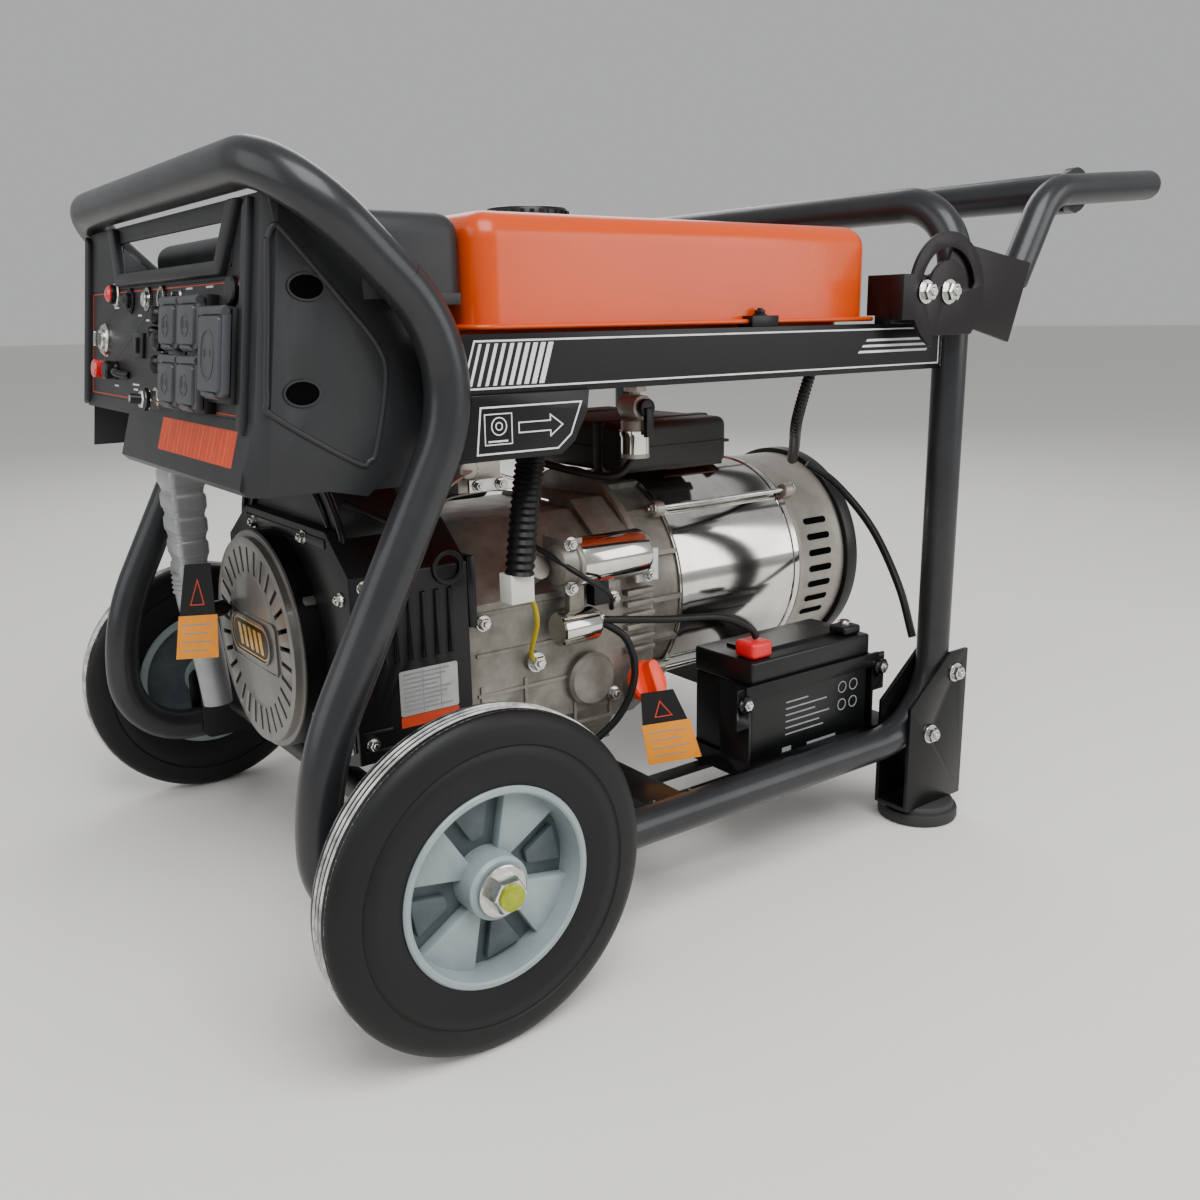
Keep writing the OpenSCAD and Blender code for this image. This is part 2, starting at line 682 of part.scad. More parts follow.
// Spring lid over half of a receptacle, hinged on its upper edge
module lid(y, z0, z1, half) {
    color([0.11, 0.11, 0.12]) on_panel() {
        difference() {
            span([-18, y - half, z0], [-9.4, y + half, z1]);
            span([-15.5, y - half + 2.5, z0 + 2.5], [-9, y + half - 2.5, z1 - 7]);
        }
        translate([-13.7, y - half, z1]) rotate([-90, 0, 0]) cylinder(r = 3.6, h = 2 * half, $fn = 32);
    }
}

// ---- Engine ------------------------------------------------------------

module tilted() {
    translate([145, 0, crank_z]) rotate([25, 0, 0]) children();
}

module crankcase() {
    color([0.62, 0.6, 0.56]) difference() {
        union() {
            translate([blower_x1, 0, 0]) rotate([90, 0, 90]) linear_extrude(gear_x0 - blower_x1)
                polygon([[-118, 118], [118, 118], [118, 132], [96, 190], [113.7, 244.3], [74, 329.4], [62, 332], [-62, 332],
                         [-138, 276], [-138, 160], [-118, 132]]);
            for (x = [member_x[0], member_x[1]]) for (y = [-80, 80])
                translate([x, y, member_z1]) cylinder(r = 16, h = 17, $fn = 48);
            bar([152, -144, 218], [152, -137, 218], 9);
            bar([106, -144, 180], [106, -137, 180], 7);
            bar([149, -158, 305], [149, -104, 278], 10);
            for (x = [100, 236]) for (z = [172, 262]) bar([x, -141, z], [x, -137, z], 6);
        }
        disc_x(blower_x1 + 8, gear_x0 + 1, 64);
        disc_x(blower_x1 - 1, gear_x0 + 1, shaft_r + gap);
    }
}

// Side cover of the crankcase, with cooling ribs and the oil filler neck
module gear_cover() {
    color([0.6, 0.6, 0.58]) difference() {
        union() {
            translate([gear_x0, 0, 0]) rotate([90, 0, 90]) linear_extrude(bell_x0 - gear_x0)
                polygon([[-104, 132], [104, 132], [112, 200], [104, 290], [60, 336], [-60, 340], [-118, 296],
                         [-136, 262], [-136, 160]]);
            for (i = [0 : 5]) span([gear_x0 + 4, -144, 205 + i * 11], [bell_x0 - 4, -135, 210 + i * 11]);
            bar([268, -150, 176], [268, -130, 166], 15);
        }
        disc_x(gear_x0 - 1, bell_x0 + 1, shaft_r + gap);
        disc_x(gear_x0 + 6, bell_x0 + 1, 80);
    }
}

// Finned cylinder, head and rocker cover, leaning towards the far side
module cylinder_head() {
    color([0.66, 0.66, 0.65]) difference() {
        tilted() {
            span([-38, 104.02, -44], [38, 186, 46]);
            for (i = [0 : 7]) span([-52, 109 + i * 9.5, -56], [52, 112.5 + i * 9.5, 58]);
            span([-42, 186, -44], [42, 208, 42]);
        }
        span([50, 0, 110], [blower_x1 + 0.2, 240, 400]);
    }
    color([0.1, 0.1, 0.1]) tilted() translate([-20, 208, 0]) rotate([-90, 0, 0]) cylinder(r = 8, h = 14, $fn = 32);
}

blade_count = 20;

// Crankshaft with its flywheel fan and the alternator rotor
module crankshaft() {
    color([0.5, 0.5, 0.52]) union() {
        disc_x(-12, 575, shaft_r - 2);
        disc_x(60, 350, shaft_r);
        disc_x(20, 50, flywheel_r);
        for (i = [0 : blade_count - 1]) translate([0, 0, crank_z]) rotate([i * 360 / blade_count, 0, 0])
            span([0, -1.5, 52], [20.5, 1.5, flywheel_r - 2]);
        disc_x(120, 136, 56);
        disc_x(176, 192, 56);
        disc_x(368, 498, 72);
        disc_x(530, 546, 84);
    }
}

module blower_outline() {
    polygon([[-92, 150], [-150, 166], [-150, 318], [-112, 350], [62, 350], [112, 318], [112, 204], [66, 150]]);
}

module blower_cavity() {
    polygon([[-90, 153], [-147, 168], [-147, 316], [-110, 347], [60, 347], [109, 316], [109, 206], [64, 153]]);
}

module blower_housing() {
    color([0.07, 0.07, 0.08]) difference() {
        union() {
            translate([blower_x0, 0, 0]) rotate([90, 0, 90]) linear_extrude(blower_x1 - blower_x0) blower_outline();
            for (i = [0 : 6]) span([-8 + i * 12, -153, 246], [-4 + i * 12, -149, 300]);
        }
        translate([blower_x0 + 3, 0, 0]) rotate([90, 0, 90]) linear_extrude(blower_x1 - blower_x0) blower_cavity();
        disc_x(blower_x0 - 1, blower_x0 + 4, 78);
    }
}

slot_count = 30;
recoil_x0 = -44;

// Recoil starter cover with radial cooling slots and a rope eyelet
module recoil_cover() {
    color([0.55, 0.54, 0.52]) difference() {
        union() {
            disc_x(recoil_x0 + 6, blower_x0, recoil_r);
            disc_x(recoil_x0, recoil_x0 + 6, recoil_r - 5);
        }
        disc_x(recoil_x0 + 3, blower_x0 + 1, recoil_r - 8);
        for (i = [0 : slot_count - 1]) translate([0, 0, crank_z]) rotate([i * 360 / slot_count, 0, 0])
            span([recoil_x0 - 1, -2, 60], [recoil_x0 + 4, 2, 82]);
        translate([recoil_x0 - 5, rope_y, rope_z]) rotate([0, 90, 0]) cylinder(r = 5, h = 20, $fn = 32);
    }
    color([0.4, 0.4, 0.4]) bar([recoil_x0 + 3, 0, crank_z], [recoil_x0 + 10, 0, crank_z], 8);
}

rope_y = 52;
rope_z = 262;

module recoil_pulley() {
    color([0.2, 0.2, 0.2]) union() {
        ring_x(-33, -25, 48, 8.4);
        disc_x(-33.4, -25, 44);
    }
}

// Pull grip with a stub of rope that enters the cover
module recoil_handle() {
    color([0.08, 0.08, 0.08]) union() {
        translate([-70, rope_y, rope_z - 26]) cylinder(r = 9, h = 52, $fn = 48);
        for (z = [-26, 26]) translate([-70, rope_y, rope_z + z]) sphere(r = 9, $fn = 48);
        bar([-62, rope_y, rope_z], [recoil_x0 - 4, rope_y, rope_z], 8);
        bar([recoil_x0 - 4, rope_y, rope_z], [recoil_x0 + 6, rope_y, rope_z], 2.5);
    }
}

// Silencer over the alternator, its pipe and its outlet
module muffler() {
    color([0.13, 0.13, 0.13]) union() {
        round_plate(292, 428, 362, 410, 18, -88, 110);
        bar([194, 100, 384], [296, 90, 386], 12);
        bar([428, 80, 386], [452, 80, 386], 13);
    }
}

module air_cleaner() {
    color([0.09, 0.09, 0.1]) union() {
        round_plate(34, 150, 392, 452, 14, 20, 172);
        span([56, 60, 362], [92, 140, 392]);
    }
    // Ribbed air duct at the front corner
    color([0.66, 0.66, 0.66]) {
        span([-52, 122, 262], [-22, 208, 372]);
        for (i = [0 : 7]) span([-56, 118, 268 + i * 13], [-18, 212, 273 + i * 13]);
        difference() {
            span([-48, 116, 190], [-24, 190, 262]);
            translate([-36, 116, 178]) rotate([0, 90, 0]) cylinder(r = 60, h = 40, center = true, $fn = 64);
        }
    }
}

// Starter motor with its nose and solenoid
module starter_motor() {
    color([0.85, 0.85, 0.84]) {
        bar([176, -160, 305], [258, -160, 305], 21);
        bar([164, -160, 248], [204, -160, 248], 15);
    }
    color([0.5, 0.5, 0.5]) {
        bar([160, -160, 305], [176, -160, 305], 17);
        span([178, -160, 262], [194, -152, 286]);
        span([176, -150, 236], [192, -138, 260]);
    }
}

cap_base = [268, -150, 176];
cap_dir = [0, -0.894, 0.447];

// Orange filler cap that screws into the gear cover
module oil_cap() {
    color([0.95, 0.32, 0.05]) union() {
        bar(cap_base + cap_dir * 0.4, cap_base + cap_dir * 9, 17);
        translate(cap_base + cap_dir * 9) rotate([63.4, 0, 0]) span([-5, -17, 0], [5, 17, 14]);
    }
}

// ---- Alternator --------------------------------------------------------

module stator() {
    color([0.45, 0.3, 0.2]) ring_x(370, 500, barrel_r - 2, 73);
}

// Bell that joins the engine, bright wrap, slotted end bell with the bearing
module alternator_barrel() {
    color([0.8, 0.8, 0.79]) {
        difference() {
            union() {
                disc_x(bell_x0, 300, 120);
                disc_x(300, barrel_x0, barrel_r - 4);
            }
            disc_x(bell_x0 - 1, barrel_x0 + 1, 84);
        }
        ring_x(barrel_x0, end_bell_x, barrel_r, barrel_r - 2);
        difference() {
            union() {
                disc_x(end_bell_x, end_cover_x, barrel_r - 1);
                for (i = [0 : 3]) translate([0, 0, crank_z]) rotate([i * 90 + 45, 0, 0])
                    span([barrel_x0, -8, barrel_r], [end_cover_x, 8, barrel_r + 7]);
            }
            disc_x(end_bell_x - 1, end_cover_x - 6, barrel_r - 9);
            disc_x(end_bell_x - 1, end_cover_x + 1, shaft_r - 2 + 0.05);
            for (a = [75, 105, 255, 285]) for (k = [0 : 5]) translate([540, 0, crank_z]) rotate([a + k * 6 - 15, 0, 0])
                span([-14, -2, 95], [16, 2, 130]);
        }
        for (s = [-1, 1]) span([member_x[2] - 14, s * 62 - 18, member_z1], [member_x[2] + 14, s * 62 + 18, 152]);
    }
}

module alternator_end_cover() {
    color([0.06, 0.06, 0.06]) difference() {
        disc_x(end_cover_x, end_x, barrel_r + 4);
        disc_x(end_cover_x - 1, end_x - 3, barrel_r - 2);
        for (z = [-60 : 12 : 60]) span([end_x - 5, -60, crank_z + z - 2.5], [end_x + 1, 60, crank_z + z + 2.5]);
    }
}

// ---- Battery -----------------------------------------------------------

batt = [[333, -226, 88], [493, -148, 200]];

module battery() {
    color([0.05, 0.05, 0.06]) {
        span(batt[0], batt[1]);
        span([batt[0][0] + 42, batt[0][1] + 14, 200], [batt[1][0] - 30, batt[1][1] - 14, 210]);
    }
    color([0.85, 0.1, 0.08]) span([338, -224, 200], [368, -196, 216]);
    color([0.1, 0.1, 0.1]) span([470, -222, 200], [490, -200, 208]);
}

// Tray with a lip, two end brackets and their bolts, and the strips that carry it
module battery_tray() {
    color([0.08, 0.08, 0.08]) {
        difference() {
            span([330, -229, 85], [496, -145, 104]);
            span([332, -227, 87], [494, -147, 110]);
        }
        for (y = [-215, -170]) span([member_x[1] + 20, y, 81], [member_x[2] - 18, y + 14, 85]);
        for (s = [0, 1]) translate([s == 0 ? 312 : 496, 0, 0]) {
            span([s == 0 ? 15 : 0, -229, 104], [s == 0 ? 18 : 3, -190, 178]);
            span([0, -229, 140], [18, -226, 178]);
        }
    }
    color([0.8, 0.8, 0.8]) for (x = [320, 506]) hex_bolt_y(x, 165, -229, 8, 6);
}

// ---- Wiring ------------------------------------------------------------

conduit_route = [[112, -225, 440], [110, -212, 410], [107, -205, 370], [104, -198, 325]];
alt_route = [[405, -225, 470], [403, -215, 440], [420, -190, 410], [470, -140, 380], [530, -80, 357]];
ground_route = [[110, -190, 300], [125, -182, 286], [136, -172, 262], [140, -156, 234], [146, -148, 222]];
plus_route = [[353, -210, 218], [346, -208, 228], [320, -196, 240], [262, -186, 246], [207, -170, 252]];
rear_route = [[540, -92, 352], [566, -110, 330], [580, -150, 286], [572, -196, 232], [566, -222, 182]];

module harness() {
    color([0.06, 0.06, 0.06]) {
        cord(conduit_route, 11);
        cord(alt_route, 6);
        cord(rear_route, 3);
    }
    color([0.8, 0.8, 0.1]) cord(ground_route, 2.2);
    color([0.8, 0.1, 0.1]) cord(plus_route, 3.5);
    color([0.92, 0.92, 0.9]) span([92, -204, 290], [114, -186, 314]);
}

placed() front_hoop();
placed() side_tube();  // near_side_tube
placed() mirror([0, 1, 0]) side_tube();  // far_side_tube
placed() rear_hoop();
placed() rail();  // near_rail
placed() mirror([0, 1, 0]) rail();  // far_rail
placed() cross_members();
placed() axle_brackets();
placed() axle();
placed() axle_nuts();
placed() tyre();  // near_tyre
placed() mirror([0, 1, 0]) tyre();  // far_tyre
placed() hub();  // near_hub
placed() mirror([0, 1, 0]) hub();  // far_hub
placed() rear_feet();
placed() foot_brackets();
placed() foot_bolts();
placed() pivot_bracket();  // near_pivot_bracket
placed() mirror([0, 1, 0]) pivot_bracket();  // far_pivot_bracket
placed() pivot_bolts();
placed() handle_arm();  // near_handle_arm
placed() mirror([0, 1, 0]) handle_arm();  // far_handle_arm
placed() handle_grip();
placed() handle_lock_bolts();
placed() fuel_tank();
placed() tank_cover();
placed() fuel_cap();
placed() fuel_valve();
placed() fuel_valve_lever();
placed() label_plate();
placed() panel_shroud();
placed() panel_plate();
placed() panel_fittings();
placed() key_switch();
placed() breaker_buttons_left();
placed() breaker_buttons_right();
placed() selector_switch();
placed() lid(outlet_a_y, 0, 34, 20);  // lid_a_top
placed() lid(outlet_a_y, -41, -7, 20);  // lid_a_bottom
placed() lid(outlet_b_y, 0, 34, 20);  // lid_b_top
placed() lid(outlet_b_y, -41, -7, 20);  // lid_b_bottom
placed() lid(outlet_c_y, -30, 26, 23);  // lid_c
placed() crankcase();
placed() gear_cover();
placed() cylinder_head();
placed() crankshaft();
placed() recoil_pulley();
placed() recoil_handle();
placed() blower_housing();
placed() recoil_cover();
placed() muffler();
placed() air_cleaner();
placed() starter_motor();
placed() oil_cap();
placed() stator();
placed() alternator_barrel();
placed() alternator_end_cover();
placed() battery();
placed() battery_tray();
placed() harness();
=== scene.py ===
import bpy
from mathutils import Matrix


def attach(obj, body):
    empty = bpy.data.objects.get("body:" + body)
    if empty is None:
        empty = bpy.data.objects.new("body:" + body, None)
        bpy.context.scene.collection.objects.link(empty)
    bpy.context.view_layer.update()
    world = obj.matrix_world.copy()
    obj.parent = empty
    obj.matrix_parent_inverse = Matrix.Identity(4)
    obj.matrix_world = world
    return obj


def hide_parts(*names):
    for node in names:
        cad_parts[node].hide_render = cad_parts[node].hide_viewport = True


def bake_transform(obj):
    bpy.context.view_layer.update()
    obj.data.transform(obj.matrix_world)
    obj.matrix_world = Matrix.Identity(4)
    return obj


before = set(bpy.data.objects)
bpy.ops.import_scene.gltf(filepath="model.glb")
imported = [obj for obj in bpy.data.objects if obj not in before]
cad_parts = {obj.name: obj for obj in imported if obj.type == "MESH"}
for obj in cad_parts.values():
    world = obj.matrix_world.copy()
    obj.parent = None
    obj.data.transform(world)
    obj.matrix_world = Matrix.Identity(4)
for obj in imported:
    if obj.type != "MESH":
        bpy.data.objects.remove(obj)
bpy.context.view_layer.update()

# Shapes are made at the bench in millimetres, measured from the wheel axle on the
# floor, and go to the row frame in metres when a piece is done.
import logging
import math
from dataclasses import dataclass
from enum import Enum
from typing import Iterable, Optional, Sequence

import bmesh
import bpy
from mathutils import Matrix, Vector

log = logging.getLogger("generator")
Pair = tuple[float, float]
Triple = tuple[float, float, float]

AXLE_FROM_MIDDLE = -382.0
BENCH = Matrix.Scale(0.001, 4) @ Matrix.Translation((AXLE_FROM_MIDDLE, 0, 0))
# The panel's tilt back from upright, and the gloss of every clear coat.
LEAN = math.radians(7)
COAT_ROUGHNESS = 0.08


def linear(code: str) -> tuple[float, float, float, float]:
    """Turns an sRGB hex colour to linear red, green, blue and alpha.

    Args:
        code: The colour as #RRGGBB.

    Returns:
        The linear colour, opaque.
    """
    parts = [int(code[i : i + 2], 16) / 255 for i in (1, 3, 5)]
    red, green, blue = (p / 12.92 if p <= 0.04045 else ((p + 0.055) / 1.055) ** 2.4 for p in parts)
    return (red, green, blue, 1.0)


def add_node(
    tree: bpy.types.NodeTree, kind: str, settings: Optional[dict] = None, links: Optional[dict] = None
) -> bpy.types.Node:
    """Adds one shader node with its settings and links.

    Args:
        tree: The material's node tree.
        kind: The node's type name.
        settings: Lower-case keys are the node's own properties; other names and numbers are sockets.
        links: From input socket to the output that feeds it.

    Returns:
        The node.
    """
    made = tree.nodes.new(kind)
    for key, value in (settings or {}).items():
        if isinstance(key, str) and key.islower():
            setattr(made, key, value)
        else:
            made.inputs[key].default_value = value
    for key, source in (links or {}).items():
        tree.links.new(source, made.inputs[key])
    return made


class Grain(Enum):
    """How the face of a material was made, which decides its relief."""

    PEEL = "sprayed, with a faint orange peel"
    CAST = "sand cast"
    LEATHER = "moulded against an etched tool"
    BRUSHED = "rolled or drawn, with fine lines round the axis"
    RUBBER = "pressed in a warm mould"


@dataclass(frozen=True)
class Finish:
    """A material with the finish of its surface.

    Colours are sRGB hex. grain_mm is the width of one bump or line and depth_mm its
    height; mottle_mm is the width of a patch where the colour drifts to second.
    """

    name: str
    colour: str
    second: str
    roughness: float
    metallic: float = 0.0
    ior: float = 1.5
    coat: float = 0.0
    grain: Grain = Grain.PEEL
    grain_mm: float = 1.5
    depth_mm: float = 0.02
    mottle_mm: float = 45.0
    spread: float = 0.05
    glow: float = 0.0

    def relief(self, tree: bpy.types.NodeTree, place: bpy.types.NodeSocket) -> bpy.types.NodeSocket:
        """Adds the relief of the grain.

        Args:
            tree: The node tree.
            place: Object coordinates, in metres.

        Returns:
            The height, from 0 to 1.
        """
        scale = 1000 / self.grain_mm
        if self.grain is Grain.BRUSHED:
            stretched = add_node(
                tree, "ShaderNodeMapping", {"Scale": (scale, scale / 40, scale / 40)}, {"Vector": place}
            )
            return add_node(
                tree, "ShaderNodeTexNoise", {"Scale": 1.0, "Detail": 3.0}, {"Vector": stretched.outputs[0]}
            ).outputs[0]
        if self.grain in (Grain.LEATHER, Grain.CAST):
            cells = add_node(
                tree,
                "ShaderNodeTexVoronoi",
                {"feature": "SMOOTH_F1", "Scale": scale, "Smoothness": 0.6},
                {"Vector": place},
            )
            return cells.outputs[0]
        return add_node(
            tree, "ShaderNodeTexNoise", {"Scale": scale, "Detail": 2.0}, {"Vector": place}
        ).outputs[0]

    def material(self) -> bpy.types.Material:
        """Makes the material once and returns it each time after that.

        Returns:
            The material.
        """
        made = bpy.data.materials.get(self.name)
        if made:
            return made
        made = bpy.data.materials.new(self.name)
        made.use_nodes = True
        tree = made.node_tree
        shader = tree.nodes["Principled BSDF"]
        shader.inputs["Metallic"].default_value = self.metallic
        if self.metallic < 0.5:
            shader.inputs["IOR"].default_value = self.ior
        shader.inputs["Coat Weight"].default_value = self.coat
        shader.inputs["Coat Roughness"].default_value = COAT_ROUGHNESS
        # glow is emission: lamp light on the lamp lens, a painted glow on any other part.
        if self.glow:
            shader.inputs["Emission Color"].default_value = linear(self.colour)
            shader.inputs["Emission Strength"].default_value = self.glow
        place = add_node(tree, "ShaderNodeTexCoord").outputs["Object"]
        drift = add_node(
            tree,
            "ShaderNodeTexNoise",
            {"Scale": 1000 / self.mottle_mm, "Detail": 5.0, "Roughness": 0.6},
            {"Vector": place},
        )
        patch = add_node(
            tree, "ShaderNodeMapRange", {"From Min": 0.35, "From Max": 0.65}, {"Value": drift.outputs[0]}
        )
        blend = add_node(
            tree,
            "ShaderNodeMix",
            {"data_type": "RGBA", 6: linear(self.colour), 7: linear(self.second)},
            {0: patch.outputs[0]},
        )
        tree.links.new(blend.outputs[2], shader.inputs["Base Color"])
        sheen = add_node(
            tree,
            "ShaderNodeMapRange",
            {"To Min": max(0.02, self.roughness - self.spread), "To Max": self.roughness + self.spread},
            {"Value": drift.outputs[0]},
        )
        tree.links.new(sheen.outputs[0], shader.inputs["Roughness"])
        bump = add_node(
            tree,
            "ShaderNodeBump",
            {"Strength": 1.0, "Distance": self.depth_mm / 1000},
            {"Height": self.relief(tree, place)},
        )
        tree.links.new(bump.outputs[0], shader.inputs["Normal"])
        return made


# Frame tube: polyester powder with metal flake over steel, a soft grey sheen.
CHARCOAL_POWDER = Finish(
    "charcoal_powder_coat", "#28292B", "#212224", 0.34, metallic=0.15, ior=1.42, coat=0.12, depth_mm=0.01
)
# Rails and brackets: plain black powder, darker and duller than the tube.
BLACK_POWDER = Finish("black_powder_coat", "#070708", "#0B0B0C", 0.36, ior=1.35, coat=0.06, depth_mm=0.012)
# Handle plates: black powder that reads faintly brown where the light grazes it.
BROWN_BLACK = Finish("brown_black_powder_coat", "#120B0D", "#0D0809", 0.42, ior=1.35, depth_mm=0.015)
# Tank: baked alkyd enamel, deep orange under a hard clear shine.
ORANGE_ENAMEL = Finish(
    "orange_tank_enamel", "#CC4600", "#C24000", 0.28, ior=1.42, coat=0.14, grain_mm=6.0, depth_mm=0.012,
    mottle_mm=220, spread=0.03,
)
# Shroud and tank cover: ABS moulded on an etched tool, a dull charcoal with fine grain.
# The real grain is 0.3 mm; it is drawn at 1.1 mm to show.
CHARCOAL_ABS = Finish(
    "charcoal_grained_abs", "#232426", "#1F2022", 0.46, ior=1.42, grain=Grain.LEATHER, grain_mm=1.1,
    depth_mm=0.06, spread=0.04,
)
# Socket lids: polypropylene, a shade lighter and waxier than the shroud.
GREY_LID = Finish(
    "grey_polypropylene", "#3C3F42", "#36393C", 0.44, grain=Grain.RUBBER, grain_mm=2.0, depth_mm=0.02
)
# Engine covers, grip and tray: nylon with glass, black with a low gloss.
BLACK_NYLON = Finish(
    "black_glass_nylon", "#08080A", "#0D0D0E", 0.36, ior=1.4, grain=Grain.RUBBER, grain_mm=2.0,
    depth_mm=0.02,
)
# Battery case: moulded ABS, black with a soft gloss.
BATTERY_ABS = Finish(
    "battery_case_abs", "#090A0B", "#0E0F10", 0.32, ior=1.4, grain=Grain.LEATHER, grain_mm=1.4,
    depth_mm=0.02,
)
# Tyre: carbon-filled rubber, almost black, with a dry grey bloom.
TYRE_RUBBER = Finish(
    "tyre_rubber", "#08090A", "#0E0F10", 0.5, ior=1.36, grain=Grain.RUBBER, grain_mm=1.2, depth_mm=0.03,
    mottle_mm=70, spread=0.08,
)
# Tread: the same rubber, its ribs painted mid to pale grey as a highlight.
TREAD_RUBBER = Finish(
    "tread_rubber_painted_highlight", "#77767A", "#D6D4CE", 0.42, ior=1.52, grain=Grain.RUBBER, grain_mm=1.0,
    depth_mm=0.05, mottle_mm=14, spread=0.1,
)
# Feet and engine mounts: softer rubber, dull and dark grey.
FOOT_RUBBER = Finish(
    "foot_rubber", "#1B1B1C", "#262626", 0.62, grain=Grain.RUBBER, grain_mm=1.0, depth_mm=0.05
)
# Wheel centre: polypropylene, pale grey with a touch of blue.
HUB_NYLON = Finish(
    "grey_hub_polypropylene", "#8F9A9C", "#849092", 0.38, grain=Grain.RUBBER, grain_mm=3.0, depth_mm=0.02,
    mottle_mm=30,
)
# Wheel pockets: the same plastic a step darker, as painted shade in the recesses.
HUB_SHADE = Finish(
    "shaded_hub_polypropylene", "#4A5457", "#3D4649", 0.5, grain=Grain.RUBBER, grain_mm=3.0, depth_mm=0.03,
    mottle_mm=18,
)
# Bolts, axle and washers: bright zinc plate.
ZINC = Finish("zinc_plate", "#D2D2CE", "#BDBDB8", 0.22, metallic=1.0, depth_mm=0.008, mottle_mm=8)
# Axle cap: yellow chromate over zinc, a greenish yellow.
CHROMATE = Finish("yellow_chromate_zinc", "#A8AF32", "#8F9B22", 0.4, metallic=0.5, depth_mm=0.02, mottle_mm=6)
# Crankcase and cover: sand-cast aluminium, warm grey and grainy.
CAST_ALLOY = Finish(
    "sand_cast_aluminium", "#918E86", "#77746C", 0.47, metallic=0.6, grain=Grain.CAST, grain_mm=1.4,
    depth_mm=0.1, mottle_mm=22, spread=0.1,
)
# Alternator end bell: die-cast aluminium, smoother and paler.
DIE_CAST = Finish(
    "die_cast_aluminium", "#ABA79E", "#99958C", 0.4, metallic=0.6, grain=Grain.CAST, grain_mm=0.9,
    depth_mm=0.03, mottle_mm=30, spread=0.08,
)
# Barrel wrap: bright tinned sheet that mirrors the tank, with faint rolling lines.
BRIGHT_SHEET = Finish(
    "bright_rolled_sheet", "#E2DFDA", "#CFCCC6", 0.1, metallic=1.0, grain=Grain.BRUSHED, grain_mm=0.8,
    depth_mm=0.006, mottle_mm=40, spread=0.05,
)
# Starter and solenoid: nickel plate over drawn steel, a near mirror.
NICKEL = Finish(
    "nickel_plate", "#DCDAD3", "#CFCDC4", 0.12, metallic=1.0, grain=Grain.BRUSHED, grain_mm=1.2,
    depth_mm=0.004, mottle_mm=20,
)
# Recoil cover: sprayed metallic lacquer, a flat mid grey.
GREY_LACQUER = Finish(
    "grey_metallic_lacquer", "#75726C", "#686560", 0.38, metallic=0.5, coat=0.2, grain_mm=1.2,
    depth_mm=0.02,
)
# Badge: gilt foil, a warm metal that catches the light on its raised bars.
GILT = Finish(
    "gilt_foil", "#E2B866", "#C99A48", 0.3, metallic=0.5, grain=Grain.BRUSHED, grain_mm=2.0, depth_mm=0.01,
    mottle_mm=9,
)
# Silencer: heat-proof black paint, dry and slightly rough.
HEAT_BLACK = Finish(
    "heat_proof_black", "#141414", "#1D1B1A", 0.55, grain=Grain.CAST, grain_mm=1.2, depth_mm=0.04
)
# Air duct: silver-filled polypropylene, a soft pale grey.
SILVER_DUCT = Finish(
    "silver_polypropylene", "#9FA1A2", "#8E9091", 0.4, metallic=0.35, grain=Grain.RUBBER, grain_mm=2.0,
    depth_mm=0.03,
)
# Windings: varnished copper wire, brown-red with fine lines.
COPPER = Finish(
    "varnished_copper", "#8A4A2A", "#6E3A22", 0.35, metallic=0.8, grain=Grain.BRUSHED, grain_mm=1.5,
    depth_mm=0.1,
)
# Steel inside: ground and oiled, with a dark wet shine.
GROUND_STEEL = Finish(
    "ground_steel", "#8E8E90", "#7C7C7E", 0.3, metallic=1.0, grain=Grain.BRUSHED, grain_mm=1.0,
    depth_mm=0.01,
)
# Filler cap: ABS, the brightest orange on the machine, with a faint painted glow (emission) though it is no
# lamp.
ORANGE_ABS = Finish("orange_abs", "#FA3D04", "#EE3500", 0.32, grain_mm=3.0, depth_mm=0.01, glow=0.03)
# Strips and printed signs: cast vinyl, a flat deep orange.
ORANGE_VINYL = Finish("orange_vinyl", "#C23602", "#B43000", 0.45, depth_mm=0.01, mottle_mm=12)
# Lines in the orange strip: the same vinyl, a lighter print that breaks the strip up.
PALE_ORANGE_VINYL = Finish("pale_orange_vinyl", "#D0540E", "#C44A08", 0.45, depth_mm=0.01, mottle_mm=8)
# Tags: waxed card, a matt warm yellow.
YELLOW_CARD = Finish("yellow_tag_card", "#E88F00", "#DE8600", 0.5, depth_mm=0.02, mottle_mm=14)
# Stripes and marks: silver-white vinyl, even and slightly satin.
WHITE_VINYL = Finish("silver_white_vinyl", "#D9DADB", "#C9CACC", 0.4, depth_mm=0.005, mottle_mm=20)
# Printed bars: grey ink, flat.
GREY_INK = Finish("grey_ink", "#8B8D90", "#7D7F82", 0.5, depth_mm=0.003, mottle_mm=10)
# Rail strip, badge field and tag heads: black vinyl, smooth and deep.
BLACK_VINYL = Finish("black_vinyl", "#060506", "#0A0809", 0.34, ior=1.35, depth_mm=0.005)
# Mouths of vents and slots: painted shade, a dull black that gives back no light and stands in for the dark
# inside the holes.
HOLE_BLACK = Finish("painted_shade_hole", "#010101", "#030303", 0.95, ior=1.15, depth_mm=0.005)
# Rating plate: printed aluminium foil, pale with a weak metal glint.
PLATE_FOIL = Finish(
    "printed_aluminium_foil", "#B9B9B6", "#A9A9A6", 0.4, metallic=0.6, depth_mm=0.005, mottle_mm=9
)
# Terminal boot and red button: soft PVC, a waxy bright red.
RED_PVC = Finish("red_soft_pvc", "#D8141E", "#C40F18", 0.36, grain=Grain.RUBBER, grain_mm=2.0, depth_mm=0.02)
# Lamp: clear red acrylic, wet-looking and faintly lit from inside.
RED_LENS = Finish("red_lamp_lens", "#C80F18", "#B20A12", 0.12, coat=0.8, depth_mm=0.003, glow=0.15)
# Connector and gauge dial: natural nylon, milky and dull.
WHITE_NYLON = Finish(
    "white_nylon", "#DAD8CE", "#CFCDC2", 0.4, grain=Grain.RUBBER, grain_mm=2.0, depth_mm=0.02
)
